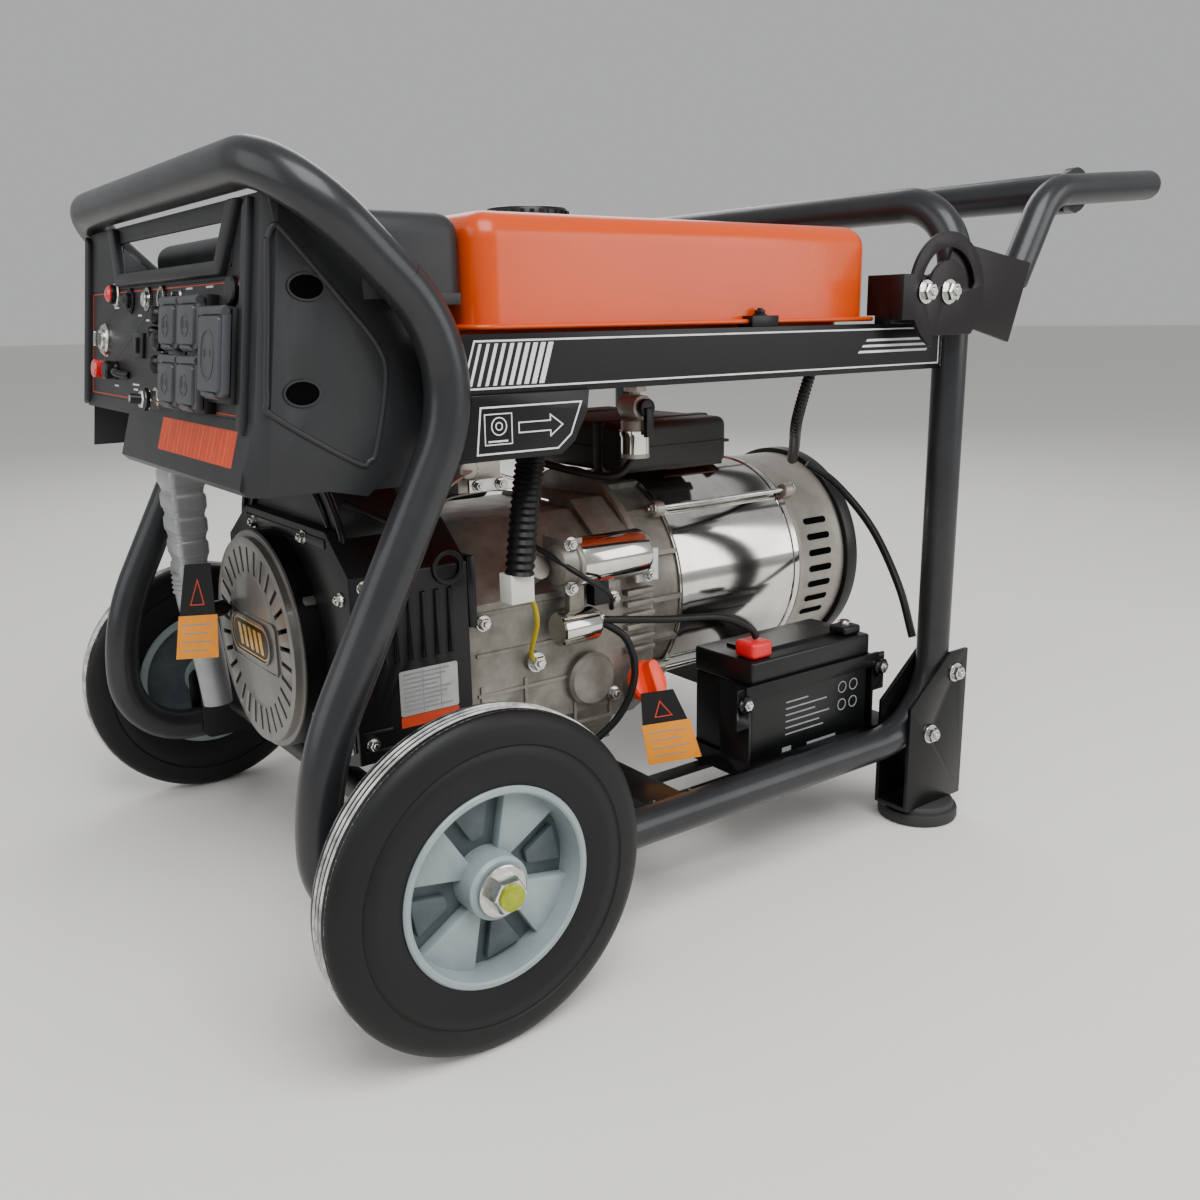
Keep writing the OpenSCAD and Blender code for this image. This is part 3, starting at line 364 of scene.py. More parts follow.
# Wires and sleeves: PVC, black with a low sheen.
BLACK_PVC = Finish(
    "black_pvc", "#09090A", "#0E0E0F", 0.42, ior=1.4, grain=Grain.RUBBER, grain_mm=1.5, depth_mm=0.02
)
# Earth wire: yellow PVC sleeve.
YELLOW_PVC = Finish("yellow_pvc", "#C9B31E", "#B6A016", 0.4, depth_mm=0.01)
# Bracket on the barrel: passivated steel, brown with dull metal patches.
RUST_BROWN = Finish(
    "brown_passivated_steel", "#5B3A2C", "#4A2E24", 0.42, metallic=0.6, depth_mm=0.03, mottle_mm=14
)


def along(start: Sequence[float], heading: Sequence[float]) -> Matrix:
    """A placing at start whose Z runs along heading."""
    return Matrix.Translation(start) @ Vector(heading).to_track_quat("Z", "Y").to_matrix().to_4x4()


def facing_side(y: float, side: int = -1) -> Matrix:
    """A placing whose XY plane is the bench's XZ plane at depth y on one side, with Z outward.

    Args:
        y: The plane's distance from the middle.
        side: -1 for the near side and 1 for the far one.

    Returns:
        The placing.
    """
    turn = Matrix(((1, 0, 0, 0), (0, 0, -1, 0), (0, 1, 0, 0), (0, 0, 0, 1)))
    placed = Matrix.Translation((0, -abs(y), 0)) @ turn
    return placed if side < 0 else Matrix.Scale(-1, 4, (0, 1, 0)) @ placed


def facing_front(x: float) -> Matrix:
    """A placing whose XY plane is the bench's YZ plane at x, with Z towards -X."""
    return Matrix(((0, 0, -1, x), (1, 0, 0, 0), (0, 1, 0, 0), (0, 0, 0, 1)))


ON_PANEL = Matrix.Translation((-98.5, 0, 490)) @ Matrix.Rotation(LEAN, 4, "Y")
PANEL_FACE = ON_PANEL @ facing_front(0)


def flowing(points: Sequence[Triple], steps: int = 7) -> list[Vector]:
    """A smooth path through points.

    Args:
        points: The points that the path meets.
        steps: How many pieces each stretch gets.

    Returns:
        The points of the path.
    """
    p = [Vector(q) for q in points]
    p = [2 * p[0] - p[1]] + p + [2 * p[-1] - p[-2]]
    path = []
    for a, b, c, d in zip(p, p[1:], p[2:], p[3:]):
        for k in range(steps):
            t = k / steps
            path.append(
                0.5 * (
                    2 * b
                    + (c - a) * t
                    + (2 * a - 5 * b + 4 * c - d) * t**2
                    + (3 * b - a - 3 * c + d) * t**3
                )
            )
    path.append(p[-2])
    return path


def rounded(
    width: float, height: float, radius: float, middle: Pair = (0.0, 0.0), steps: int = 5
) -> list[Pair]:
    """The outline of a rectangle with round corners.

    Args:
        width: Its size along X.
        height: Its size along Y.
        radius: The corners' radius.
        middle: Its centre.
        steps: How many pieces each corner gets.

    Returns:
        The outline, anticlockwise.
    """
    outline = []
    for turn, (sx, sy) in enumerate(((1, 1), (-1, 1), (-1, -1), (1, -1))):
        cx, cy = middle[0] + sx * (width / 2 - radius), middle[1] + sy * (height / 2 - radius)
        for k in range(steps + 1):
            a = math.radians(90 * (turn + k / steps))
            outline.append((cx + radius * math.cos(a), cy + radius * math.sin(a)))
    return outline


def inset(outline: Sequence[Pair], width: float) -> list[Pair]:
    """The same outline moved inwards.

    Args:
        outline: The corners, anticlockwise.
        width: How far each edge moves.

    Returns:
        The moved corners.
    """
    moved = []
    count = len(outline)
    for i in range(count):
        before, here, after = (Vector(outline[(i + k) % count]) for k in (-1, 0, 1))
        first, second = (here - before).normalized(), (after - here).normalized()
        n1, n2 = Vector((-first.y, first.x)), Vector((-second.y, second.x))
        across = (n1 + n2).normalized()
        moved.append(tuple(here + across * (width / max(0.3, across.dot(n1)))))
    return moved


class Shape:
    """A mesh in the making, in bench millimetres."""

    def __init__(self) -> None:
        """Starts empty."""
        self.mesh = bmesh.new()

    @classmethod
    def of_node(cls, node: str, whole: bool = True) -> "Shape":
        """A copy of a CAD node with its seams welded.

        Args:
            node: The CAD node's name.
            whole: Whether flat faces are made whole again.

        Returns:
            The shape.
        """
        made = cls()
        made.mesh.from_mesh(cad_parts[node].data)
        made.mesh.transform(BENCH.inverted())
        bmesh.ops.remove_doubles(made.mesh, verts=made.mesh.verts, dist=0.004)
        if whole:
            bmesh.ops.dissolve_limit(
                made.mesh, angle_limit=math.radians(0.8), verts=made.mesh.verts, edges=made.mesh.edges
            )
        return made

    def _skin(self, rings: Sequence[Sequence[bmesh.types.BMVert]], around: bool) -> None:
        """Joins rings of points with faces; around closes the last ring to the first."""
        pairs = list(zip(rings, rings[1:])) + ([(rings[-1], rings[0])] if around else [])
        for a, b in pairs:
            count = max(len(a), len(b))
            if count == 1:
                continue
            for i in range(count):
                j = (i + 1) % count
                first = [a[0]] if len(a) == 1 else [a[i], a[j]]
                second = [b[0]] if len(b) == 1 else [b[j], b[i]]
                self.mesh.faces.new(first + second)

    def box(self, low: Triple, high: Triple, place: Matrix = Matrix()) -> "Shape":
        """Adds a box.

        Args:
            low: The low corner.
            high: The high corner.
            place: Where it goes.

        Returns:
            This shape.
        """
        middle, size = (Vector(low) + Vector(high)) / 2, Vector(high) - Vector(low)
        corners = bmesh.ops.create_cube(self.mesh, size=1)["verts"]
        bmesh.ops.transform(
            self.mesh,
            matrix=place @ Matrix.Translation(middle) @ Matrix.Diagonal((*size, 1)),
            verts=corners,
        )
        return self

    def prism(self, outline: Sequence[Pair], depth: float, place: Matrix = Matrix()) -> "Shape":
        """Adds a flat outline drawn out to a depth.

        Args:
            outline: Its corners in XY.
            depth: How far it is drawn out along Z.
            place: Where it goes.

        Returns:
            This shape.
        """
        low = [self.mesh.verts.new(place @ Vector((u, v, 0))) for u, v in outline]
        high = [self.mesh.verts.new(place @ Vector((u, v, depth))) for u, v in outline]
        self.mesh.faces.new(low[::-1])
        self.mesh.faces.new(high)
        self._skin([low, high], False)
        return self

    def ribbon(
        self, outline: Sequence[Pair], width: float, depth: float, place: Matrix = Matrix()
    ) -> "Shape":
        """Adds a closed strip that runs inside an outline.

        Args:
            outline: Its outer corners, anticlockwise.
            width: The strip's width.
            depth: How far it is drawn out along Z.
            place: Where it goes.

        Returns:
            This shape.
        """
        inner = inset(outline, width)
        rings = [
            [self.mesh.verts.new(place @ Vector((u, v, z))) for u, v in line]
            for line, z in ((outline, 0), (outline, depth), (inner, depth), (inner, 0))
        ]
        self._skin(rings, True)
        return self

    def lathe(
        self, profile: Sequence[Pair], place: Matrix = Matrix(), steps: int = 48, around: bool = False
    ) -> "Shape":
        """Adds a turned form.

        Args:
            profile: Pairs of radius and reach along Z.
            place: Where it goes.
            steps: How many sides it has.
            around: Whether the profile closes on itself, as a ring does.

        Returns:
            This shape.
        """
        rings = []
        for radius, reach in profile:
            count = 1 if radius < 1e-6 else steps
            turns = (2 * math.pi * i / steps for i in range(count))
            rings.append(
                [
                    self.mesh.verts.new(place @ Vector((radius * math.cos(a), radius * math.sin(a), reach)))
                    for a in turns
                ]
            )
        self._skin(rings, around)
        return self

    def rod(
        self, start: Sequence[float], end: Sequence[float], radius: float, steps: int = 32,
        edge: float = 0.0,
    ) -> "Shape":
        """Adds a round bar.

        Args:
            start: The middle of one end.
            end: The middle of the other.
            radius: Its radius.
            steps: How many sides it has.
            edge: How far its ends are eased.

        Returns:
            This shape.
        """
        length = (Vector(end) - Vector(start)).length
        profile = [
            (0, 0), (radius - edge, 0), (radius, edge), (radius, length - edge), (radius - edge, length),
            (0, length),
        ]
        if not edge:
            profile = [(0, 0), (radius, 0), (radius, length), (0, length)]
        return self.lathe(profile, along(start, Vector(end) - Vector(start)), steps)

    def sweep(
        self, path: Sequence[Sequence[float]], radii: float | Sequence[float], sides: int = 12
    ) -> "Shape":
        """Adds a round cord along a path, closed at its ends.

        Args:
            path: The points of its middle line.
            radii: Its radius, or one radius for each point.
            sides: How many sides it has.

        Returns:
            This shape.
        """
        points = [Vector(p) for p in path]
        sizes = [radii] * len(points) if isinstance(radii, (int, float)) else list(radii)
        rings = []
        heading = (points[1] - points[0]).normalized()
        across = heading.orthogonal().normalized()
        for i, point in enumerate(points):
            ahead = (points[min(i + 1, len(points) - 1)] - points[max(i - 1, 0)]).normalized()
            across = (across - ahead * across.dot(ahead)).normalized()
            up = ahead.cross(across)
            turns = (2 * math.pi * k / sides for k in range(sides))
            rings.append(
                [
                    self.mesh.verts.new(point + (across * math.cos(a) + up * math.sin(a)) * sizes[i])
                    for a in turns
                ]
            )
        self._skin(rings, False)
        self.mesh.faces.new(rings[0][::-1])
        self.mesh.faces.new(rings[-1])
        return self

    def bolt(
        self, seat: Sequence[float], heading: Sequence[float], size: float, washer: bool = True
    ) -> "Shape":
        """Adds a hexagon head with a domed top.

        Args:
            seat: Where its face sits.
            heading: The way that it points.
            size: Its size across corners.
            washer: Whether it has a washer.

        Returns:
            This shape.
        """
        place = along(seat, heading)
        r, base = size / 2, 0.0
        if washer:
            self.lathe(
                [(0, 0), (r * 1.25, 0), (r * 1.3, 0.4), (r * 1.3, 1.2), (r * 1.25, 1.6), (0, 1.6)],
                place,
                32,
            )
            base = 1.6
        self.lathe(
            [
                (0, base), (r, base), (r, base + size * 0.32), (r * 0.86, base + size * 0.4),
                (0, base + size * 0.4),
            ],
            place,
            6,
        )
        self.lathe(
            [
                (0, base), (r * 0.5, base), (r * 0.5, base + size * 0.5), (r * 0.42, base + size * 0.56),
                (0, base + size * 0.56),
            ],
            place,
            20,
        )
        return self

    def add(self, other: "Shape") -> "Shape":
        """Adds another shape, which is used up.

        Args:
            other: The shape to add.

        Returns:
            This shape.
        """
        spare = bpy.data.meshes.new("spare")
        other.mesh.to_mesh(spare)
        other.mesh.free()
        self.mesh.from_mesh(spare)
        bpy.data.meshes.remove(spare)
        return self

    def keep_above(self, point: Triple, normal: Triple) -> "Shape":
        """Cuts the shape with a plane and keeps the side that normal points to.

        Args:
            point: A point of the plane.
            normal: The side that is kept.

        Returns:
            This shape.
        """
        everything = list(self.mesh.verts) + list(self.mesh.edges) + list(self.mesh.faces)
        bmesh.ops.bisect_plane(self.mesh, geom=everything, plane_co=point, plane_no=normal, clear_inner=True)
        return self

    def soften(self, width: float, segments: int = 2, angle: float = 30.0) -> "Shape":
        """Rounds each edge sharper than angle by width.

        Args:
            width: How much is taken off.
            segments: How many steps the rounding has.
            angle: The smallest angle, in degrees, that is rounded.

        Returns:
            This shape.
        """
        bmesh.ops.recalc_face_normals(self.mesh, faces=self.mesh.faces)
        limit = math.radians(angle)
        joined = [e for e in self.mesh.edges if len(e.link_faces) == 2]
        sharp = [e for e in joined if e.calc_face_angle(0) > limit]
        bmesh.ops.bevel(
            self.mesh, geom=sharp, offset=width, segments=segments, profile=0.5, affect="EDGES",
            clamp_overlap=True,
        )
        return self

    def done(
        self,
        name: str,
        finish: Finish,
        body: str = "frame",
        crease: float = 35.0,
        replaces: Iterable[str] = (),
        stretch: Optional[tuple[str, Triple, Triple]] = None,
    ) -> bpy.types.Object:
        """Turns the shape to a piece that rides on a body.

        Args:
            name: The piece's name.
            finish: What it is made of.
            body: The CAD body that it moves with.
            crease: The angle in degrees above which an edge stays sharp.
            replaces: CAD nodes that it stands for.
            stretch: When given, the piece stays fixed in the row frame instead of riding on body; the second
                body and the points in it are not used.

        Returns:
            The piece.
        """
        bmesh.ops.recalc_face_normals(self.mesh, faces=self.mesh.faces)
        self.mesh.transform(BENCH)
        data = bpy.data.meshes.new(name)
        self.mesh.to_mesh(data)
        self.mesh.free()
        data.polygons.foreach_set("use_smooth", [True] * len(data.polygons))
        data.set_sharp_from_angle(angle=math.radians(crease))
        data.materials.append(finish.material())
        piece = bpy.data.objects.new(name, data)
        bpy.context.scene.collection.objects.link(piece)
        if stretch:
            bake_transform(piece)
        else:
            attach(piece, body)
        if replaces:
            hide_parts(*replaces)
        log.info("%s: %s, %d faces, on %s", name, finish.name, len(data.polygons), body)
        return piece


def skin(
    node: str, finish: Finish, body: str = "frame", edge: float = 0.0, segments: int = 2,
    crease: float = 35.0,
) -> bpy.types.Object:
    """Stands a softened copy of a CAD node in its place.

    Args:
        node: The CAD node's name.
        finish: What it is made of.
        body: The body that it is on.
        edge: The radius of its eased edges, in millimetres.
        segments: How many steps the eased edge has.
        crease: The angle in degrees above which an edge stays sharp.

    Returns:
        The piece.
    """
    shape = Shape.of_node(node, whole=edge > 0)
    if edge:
        shape.soften(edge, segments)
    return shape.done(node + "_skin", finish, body, crease, (node,))


@dataclass
class TubeFrame:
    """The bent tube cradle with its rails, cross members and feet.

    Sizes are in millimetres: the tube's radius, the depth of each side loop and the rear uprights' place.
    """

    tube_r: float = 16.0
    side_y: float = 250.0
    post_x: float = 563.0
    rail_y: float = 252.0
    top_z: float = 608.0
    bottom_z: float = 92.0
    front_x: float = -90.0
    hoop_bend_r: float = 60.0
    shoulder_r: float = 100.0
    shoulder_z: float = 462.0
    shoulder_top: float = 46.0
    lean: float = -27.1
    knee_r: float = 230.0
    front_bend: Pair = (-34.0, 156.0)
    front_bend_r: float = 64.0
    rear_bend_r: float = 80.0
    axle_z: float = 127.0
    axle_half: float = 340.4
    axle_r: float = 8.0
    member_x: Pair = (110.0, 222.0)
    bead_r: float = 1.6
    vinyl: float = 0.25
    foot_x: float = 552.0
    foot_bolt_y: float = 270.0

    def arc(self, centre: Pair, radius: float, start: float, end: float, y: float) -> list[Triple]:
        """The points of a bend in a side plane.

        Args:
            centre: The bend's centre, as x and z.
            radius: Its radius at the tube's middle.
            start: The angle it starts at, in degrees from +X towards +Z.
            end: The angle it ends at.
            y: The plane's place.

        Returns:
            Its points.
        """
        turns = (math.radians(start + (end - start) * k / 20) for k in range(21))
        return [(centre[0] + radius * math.cos(a), y, centre[1] + radius * math.sin(a)) for a in turns]

    def over(self, foot: Pair, crown: Pair) -> list[Triple]:
        """The path from the near side over the top to the far side.

        Args:
            foot: Where its corner bend starts, as x and z.
            crown: Where its top bar is.

        Returns:
            Its points.
        """
        near = []
        for k in range(17):
            a = math.radians(90 * k / 16)
            x = foot[0] + (crown[0] - foot[0]) * math.sin(a)
            z = foot[1] + (crown[1] - foot[1]) * math.sin(a)
            near.append((x, -self.side_y + self.hoop_bend_r * (1 - math.cos(a)), z))
        return near + [(x, -y, z) for x, y, z in near[::-1]]

    def tubes(self) -> None:
        """Bends the side loops, the front hoop and the rear hoop out of round tube."""
        knee_c = (self.front_bend[0] - self.front_bend_r + self.knee_r, self.front_bend[1])
        turn = math.radians(self.lean)
        knee = (knee_c[0] - self.knee_r * math.cos(turn), knee_c[1] - self.knee_r * math.sin(turn))
        low_z = self.shoulder_z + self.shoulder_r * math.sin(turn)
        low_x = knee[0] - (low_z - knee[1]) * math.tan(turn)
        shoulder = (low_x - self.shoulder_r * math.cos(turn), self.shoulder_z)
        rear = (self.post_x - self.rear_bend_r, self.bottom_z + self.rear_bend_r)
        for side, word in ((-1, "near"), (1, "far")):
            y = side * self.side_y
            path = self.arc(shoulder, self.shoulder_r, self.shoulder_top, self.lean, y)
            path += self.arc(knee_c, self.knee_r, 180 + self.lean, 180, y)
            path += self.arc(self.front_bend, self.front_bend_r, 180, 270, y)[1:]
            path += self.arc(rear, self.rear_bend_r, 270, 360, y)
            Shape().sweep(path, self.tube_r, 48).done(
                word + "_side_loop", CHARCOAL_POWDER, crease=50, replaces=(word + "_side_tube",)
            )
        high = self.arc(shoulder, self.shoulder_r, self.shoulder_top, self.lean, 0)[0]
        slope = math.atan2(self.top_z - high[2], high[0] - self.front_x)
        start = (
            self.front_x + self.hoop_bend_r * math.cos(slope),
            self.top_z - self.hoop_bend_r * math.sin(slope),
        )
        hoop = [(high[0], -self.side_y, high[2])] + self.over(start, (self.front_x, self.top_z)) + [
            (high[0], self.side_y, high[2])
        ]
        Shape().sweep(hoop, self.tube_r, 48).done(
            "front_hoop_tube", CHARCOAL_POWDER, crease=50, replaces=("front_hoop",)
        )
        start = (self.post_x, self.top_z - self.hoop_bend_r)
        hoop = [(self.post_x, -self.side_y, rear[1])] + self.over(start, (self.post_x, self.top_z)) + [
            (self.post_x, self.side_y, rear[1])
        ]
        Shape().sweep(hoop, self.tube_r, 48).done(
            "rear_hoop_tube", CHARCOAL_POWDER, crease=50, replaces=("rear_hoop",)
        )

    def welds(self) -> None:
        """Lays a weld bead where a bracket or rail meets a tube."""
        beads = Shape()
        for side in (-1, 1):
            x = self.post_x - self.tube_r - 0.3
            for y in (side * (self.side_y - 7), side * (self.side_y + 1.5)):
                path = [(x - 0.7 + 0.5 * math.sin(k * 1.9), y, 459 + k * 2.4) for k in range(17)]
                beads.sweep(path, [self.bead_r + 0.4 * math.cos(k * 2.3) for k in range(17)], 8)
            for x in self.member_x:
                for edge in (-20, 20):
                    arc = [math.radians(20 + 7 * k) for k in range(17)]
                    path = [
                        (
                            x + edge + 0.4 * math.sin(5 * a),
                            side * (self.side_y - (self.tube_r + 0.3) * math.sin(a)),
                            92 + (self.tube_r + 0.3) * math.cos(a),
                        )
                        for a in arc if a < 2.2
                    ]
                    beads.sweep(path, self.bead_r, 8)
        beads.done("weld_beads", CHARCOAL_POWDER)

    def rails(self) -> None:
        """Stands the side rails up and lays their stripes on."""
        for node in ("near_rail", "far_rail"):
            skin(node, BLACK_POWDER, edge=1.2)
        for side, word in ((-1, "near"), (1, "far")):
            face = facing_side(self.rail_y, side)
            border = [(28, 461.5), (543, 461.5), (543, 495), (39, 495)]
            stripes = Shape().ribbon(border, 1.3, self.vinyl, face)
            for k in range(10):
                x, thick = 34 + k * 6.4, 2.2 + k * 0.24
                slant = [(x, 464), (x + thick, 464), (x + thick + 9, 492.5), (x + 9, 492.5)]
                stripes.prism(slant, self.vinyl, face)
            for k in range(3):
                x, z = 430 + k * 5, 474 + k * 5
                stripes.prism([(x, z), (524, z), (526, z + 2), (x + 2, z + 2)], self.vinyl, face)
            stripes.done(word + "_rail_stripes", WHITE_VINYL)
            inner = [(29.5, 463), (541.5, 463), (541.5, 493.5), (40, 493.5)]
            Shape().prism(inner, 0.1, face).done(word + "_rail_vinyl", BLACK_VINYL)

    def instruction_plate(self) -> None:
        """Stands up the plate under the near rail with its arrow picture."""
        skin("label_plate", BLACK_POWDER, edge=0.8)
        face = facing_side(self.rail_y + 3)
        border = [(36, 416.5), (105, 416.5), (117, 426), (127, 450), (40, 450)]
        window = [(43, 423), (66, 423), (66, 445), (43, 445)]
        arrow = [(71, 430), (98, 430), (98, 425.5), (110, 434), (98, 442.5), (98, 438), (71, 438)]
        picture = Shape()
        for outline, width in (
            (border, 1.2),
            (window, 0.8),
            (arrow, 0.9),
            (rounded(13, 13, 6.4, (55, 436)), 0.8),
            (rounded(6, 6, 2.9, (55, 436)), 0.8),
        ):
            picture.ribbon(outline, width, self.vinyl, face)
        picture.prism([(46, 425), (62, 425), (62, 426.2), (46, 426.2)], self.vinyl, face)
        picture.done("plate_picture", WHITE_VINYL)

    def cross_members(self) -> None:
        """Stands up the cross members, axle brackets, axle and engine mounts."""
        skin("cross_members", BLACK_POWDER, edge=1.0)
        skin("axle_brackets", BLACK_POWDER, edge=0.6)
        ends = [(0, side * self.axle_half, self.axle_z) for side in (-1, 1)]
        Shape().rod(*ends, self.axle_r, 48, 0.6).done("axle_bar", ZINC, replaces=("axle",))
        mounts = Shape()
        for x in self.member_x:
            for y in (-80, 80):
                place = along((x, y, 102), (0, 0, 1))
                mounts.lathe([(16.4, 0.5), (19, 4), (19, 11), (16.4, 14.5)], place, 40)
        mounts.done("engine_rubber_mounts", FOOT_RUBBER)

    def feet(self) -> None:
        """Stands up the rubber feet, their brackets and bolts."""
        pads = Shape()
        for side in (-1, 1):
            place = along((self.foot_x, side * self.side_y, 0), (0, 0, 1))
            pads.lathe(
                [
                    (0, 0), (37, 0), (39.2, 1), (40, 3), (40, 10), (39, 12.4), (36, 13.2), (35.4, 17.5),
                    (33.5, 19), (0, 19),
                ],
                place,
                64,
            )
        pads.done("rubber_feet", FOOT_RUBBER, crease=50, replaces=("rear_feet",))
        skin("foot_brackets", BLACK_POWDER, edge=1.0)
        bolts = Shape()
        for side in (-1, 1):
            for x, z in ((575, 154), (540, 96)):
                seat = (x, side * self.foot_bolt_y, z)
                bolts.bolt(seat, (0, side, 0), 15).rod(seat, (x, side * (self.foot_bolt_y - 5), z), 4)
        bolts.done("foot_bolt_heads", ZINC, replaces=("foot_bolts",))

    def build(self) -> None:
        """Builds the whole cradle."""
        self.tubes()
        self.welds()
        self.rails()
        self.instruction_plate()
        self.cross_members()
        self.feet()


@dataclass
class Wheel:
    """A solid rubber tyre on a moulded centre.

    Sizes are in millimetres; turn is the angle in degrees of the first window.
    """

    side: int
    wheel_r: float = 127.0
    rim_r: float = 74.0
    tread_w: float = 40.0
    face_y: float = 326.0
    turn: float = -11.0
    spokes: int = 4
    rib_edges: tuple[float, ...] = (7.4, 12.6, 17.6, 22.4, 27.4, 32.6)
    rib_gap: float = 1.55
    hole_r: float = 8.1

    @property
    def word(self) -> str:
        """The side's name, as the CAD names use it."""
        return "near" if self.side < 0 else "far"

    def place(self) -> Matrix:
        """A placing on the axle at the outer face, with Z inwards."""
        return along((0, self.side * self.face_y, self.wheel_r), (0, -self.side, 0))

    def tyre(self) -> None:
        """Turns the tyre with its moulded line and the tread ribs, painted pale as a highlight."""
        w, r = self.tread_w, self.wheel_r
        half = [
            (r - 1.2, 9.0), (r - 2.9, 6.2), (r - 7, 3.4), (r - 12, 1.6), (r - 20, 0.6), (104.2, 0.2),
            (103.4, 1.3), (102.3, 1.3), (101.6, 0.2),
        ]
        half += [(92, 0.4), (84, 1.2), (78, 2.4), (self.rim_r + 0.2, 3.4)]
        profile = half[::-1] + [(rr, w - t) for rr, t in half]
        Shape().lathe(profile, self.place(), 128, around=True).done(
            self.word + "_tyre_body", TYRE_RUBBER, self.word + "_wheel", 60, (self.word + "_tyre",)
        )
        # The ribs' pale grey colour is a painted highlight.
        ribs = Shape()
        for low, high in zip(self.rib_edges, self.rib_edges[1:]):
            a, b = low + self.rib_gap, high - self.rib_gap
            outer = r - (1.2 if low < 8 or high > 32 else 0.0)
            ribs.lathe(
                [
                    (r - 4, a), (outer - 0.6, a), (outer, a + 0.6), (outer, b - 0.6), (outer - 0.6, b),
                    (r - 4, b),
                ],
                self.place(),
                128,
                around=True,
            )
        ribs.done(self.word + "_tread_ribs", TREAD_RUBBER, self.word + "_wheel", 50)

    def centre(self) -> None:
        """Builds the deep rim, the four broad spokes, the pockets between them and the boss."""
        place = self.place()
        r = self.rim_r
        hub = Shape().lathe(
            [
                (r, 4), (r, 2.6), (r - 1.2, 1.4), (r - 4.2, 1.2), (r - 5.6, 2.4), (r - 8, 17), (r - 8, 36),
                (r, 36),
            ],
            place,
            96,
            around=True,
        )
        hub.lathe(
            [(9, 3), (12, 1.2), (21, 1.2), (23.4, 3.4), (24, 16), (24, 37), (9, 37)],
            place,
            64,
            around=True,
        )
        hub.done(self.word + "_hub_rim", HUB_NYLON, self.word + "_wheel", 40, (self.word + "_hub",))
        # The pocket floor takes the darker finish as painted shade.
        floor = Shape().lathe([(20, 25), (r - 7, 25), (r - 7, 28), (20, 28)], place, 96, around=True)
        floor.done(self.word + "_hub_pockets", HUB_SHADE, self.word + "_wheel", 40)
        blades = Shape()
        for k in range(self.spokes):
            middle = math.radians(45 + k * 360 / self.spokes)
            spread_out, spread_in = math.radians(21), math.radians(17)
            outline = [
                (23 * math.cos(middle + s * spread_in * 0.9), 23 * math.sin(middle + s * spread_in * 0.9))
                for s in (1, -1)
            ]
            outline += [
                ((r - 7) * math.cos(middle + a), (r - 7) * math.sin(middle + a))
                for a in [spread_out * (t / 4 - 1) for t in range(9)]
            ]
            blades.prism(
                outline,
                9.5,
                place @ Matrix.Rotation(math.radians(self.turn), 4, "Z") @ Matrix.Translation((0, 0, 16)),
            )
        blades.soften(1.4, 2, 40)
        blades.done(self.word + "_hub_spokes", HUB_NYLON, self.word + "_wheel", 40)
        # The bosses between the spokes take the darker finish as painted shade in the pockets.
        pockets = Shape()
        for k in range(self.spokes):
            angle = math.radians(self.turn + k * 360 / self.spokes)
            turned = place @ Matrix.Rotation(angle, 4, "Z") @ Matrix.Translation((0, 0, 19))
            pockets.prism([(33, -5), (60, -15), (60, 15), (33, 5)], 6.2, turned)
        pockets.soften(1.8, 2, 40)
        pockets.done(self.word + "_hub_bosses", HUB_SHADE, self.word + "_wheel", 40)

    def nuts(self) -> None:
        """Fits the washer, the castle nut and the capped axle end."""
        outer, hole = self.side * self.face_y, self.hole_r
        metal = Shape().lathe(
            [(hole, 0), (18, 0), (19, 0.7), (19, 1.8), (18, 2.5), (hole, 2.5)],
            along((0, outer + self.side * 0.5, self.wheel_r), (0, self.side, 0)),
            48,
            around=True,
        )
        metal.lathe(
            [(hole, 0), (14, 0), (14, 7), (12.4, 10), (hole, 10)],
            along((0, outer + self.side * 3, self.wheel_r), (0, self.side, 0)),
            6,
            around=True,
        )
        metal.lathe(
            [(hole, 0), (14, 0), (14, 14), (hole, 14)],
            along((0, self.side * 270.3, self.wheel_r), (0, self.side, 0)),
            40,
            around=True,
        )
        metal.done(self.word + "_axle_nut", ZINC, replaces=("axle_nuts",))
        Shape().lathe(
            [(hole, 0), (9.6, 0), (9.6, 2.2), (8.4, 2.9), (0, 3.0), (0, 1.9), (hole, 1.7)],
            along((0, self.side * (self.face_y + 12.9), self.wheel_r), (0, self.side, 0)),
            32,
        ).done(self.word + "_axle_cap", CHROMATE)

    def build(self) -> None:
        """Builds the wheel."""
        self.tyre()
        self.centre()
        self.nuts()


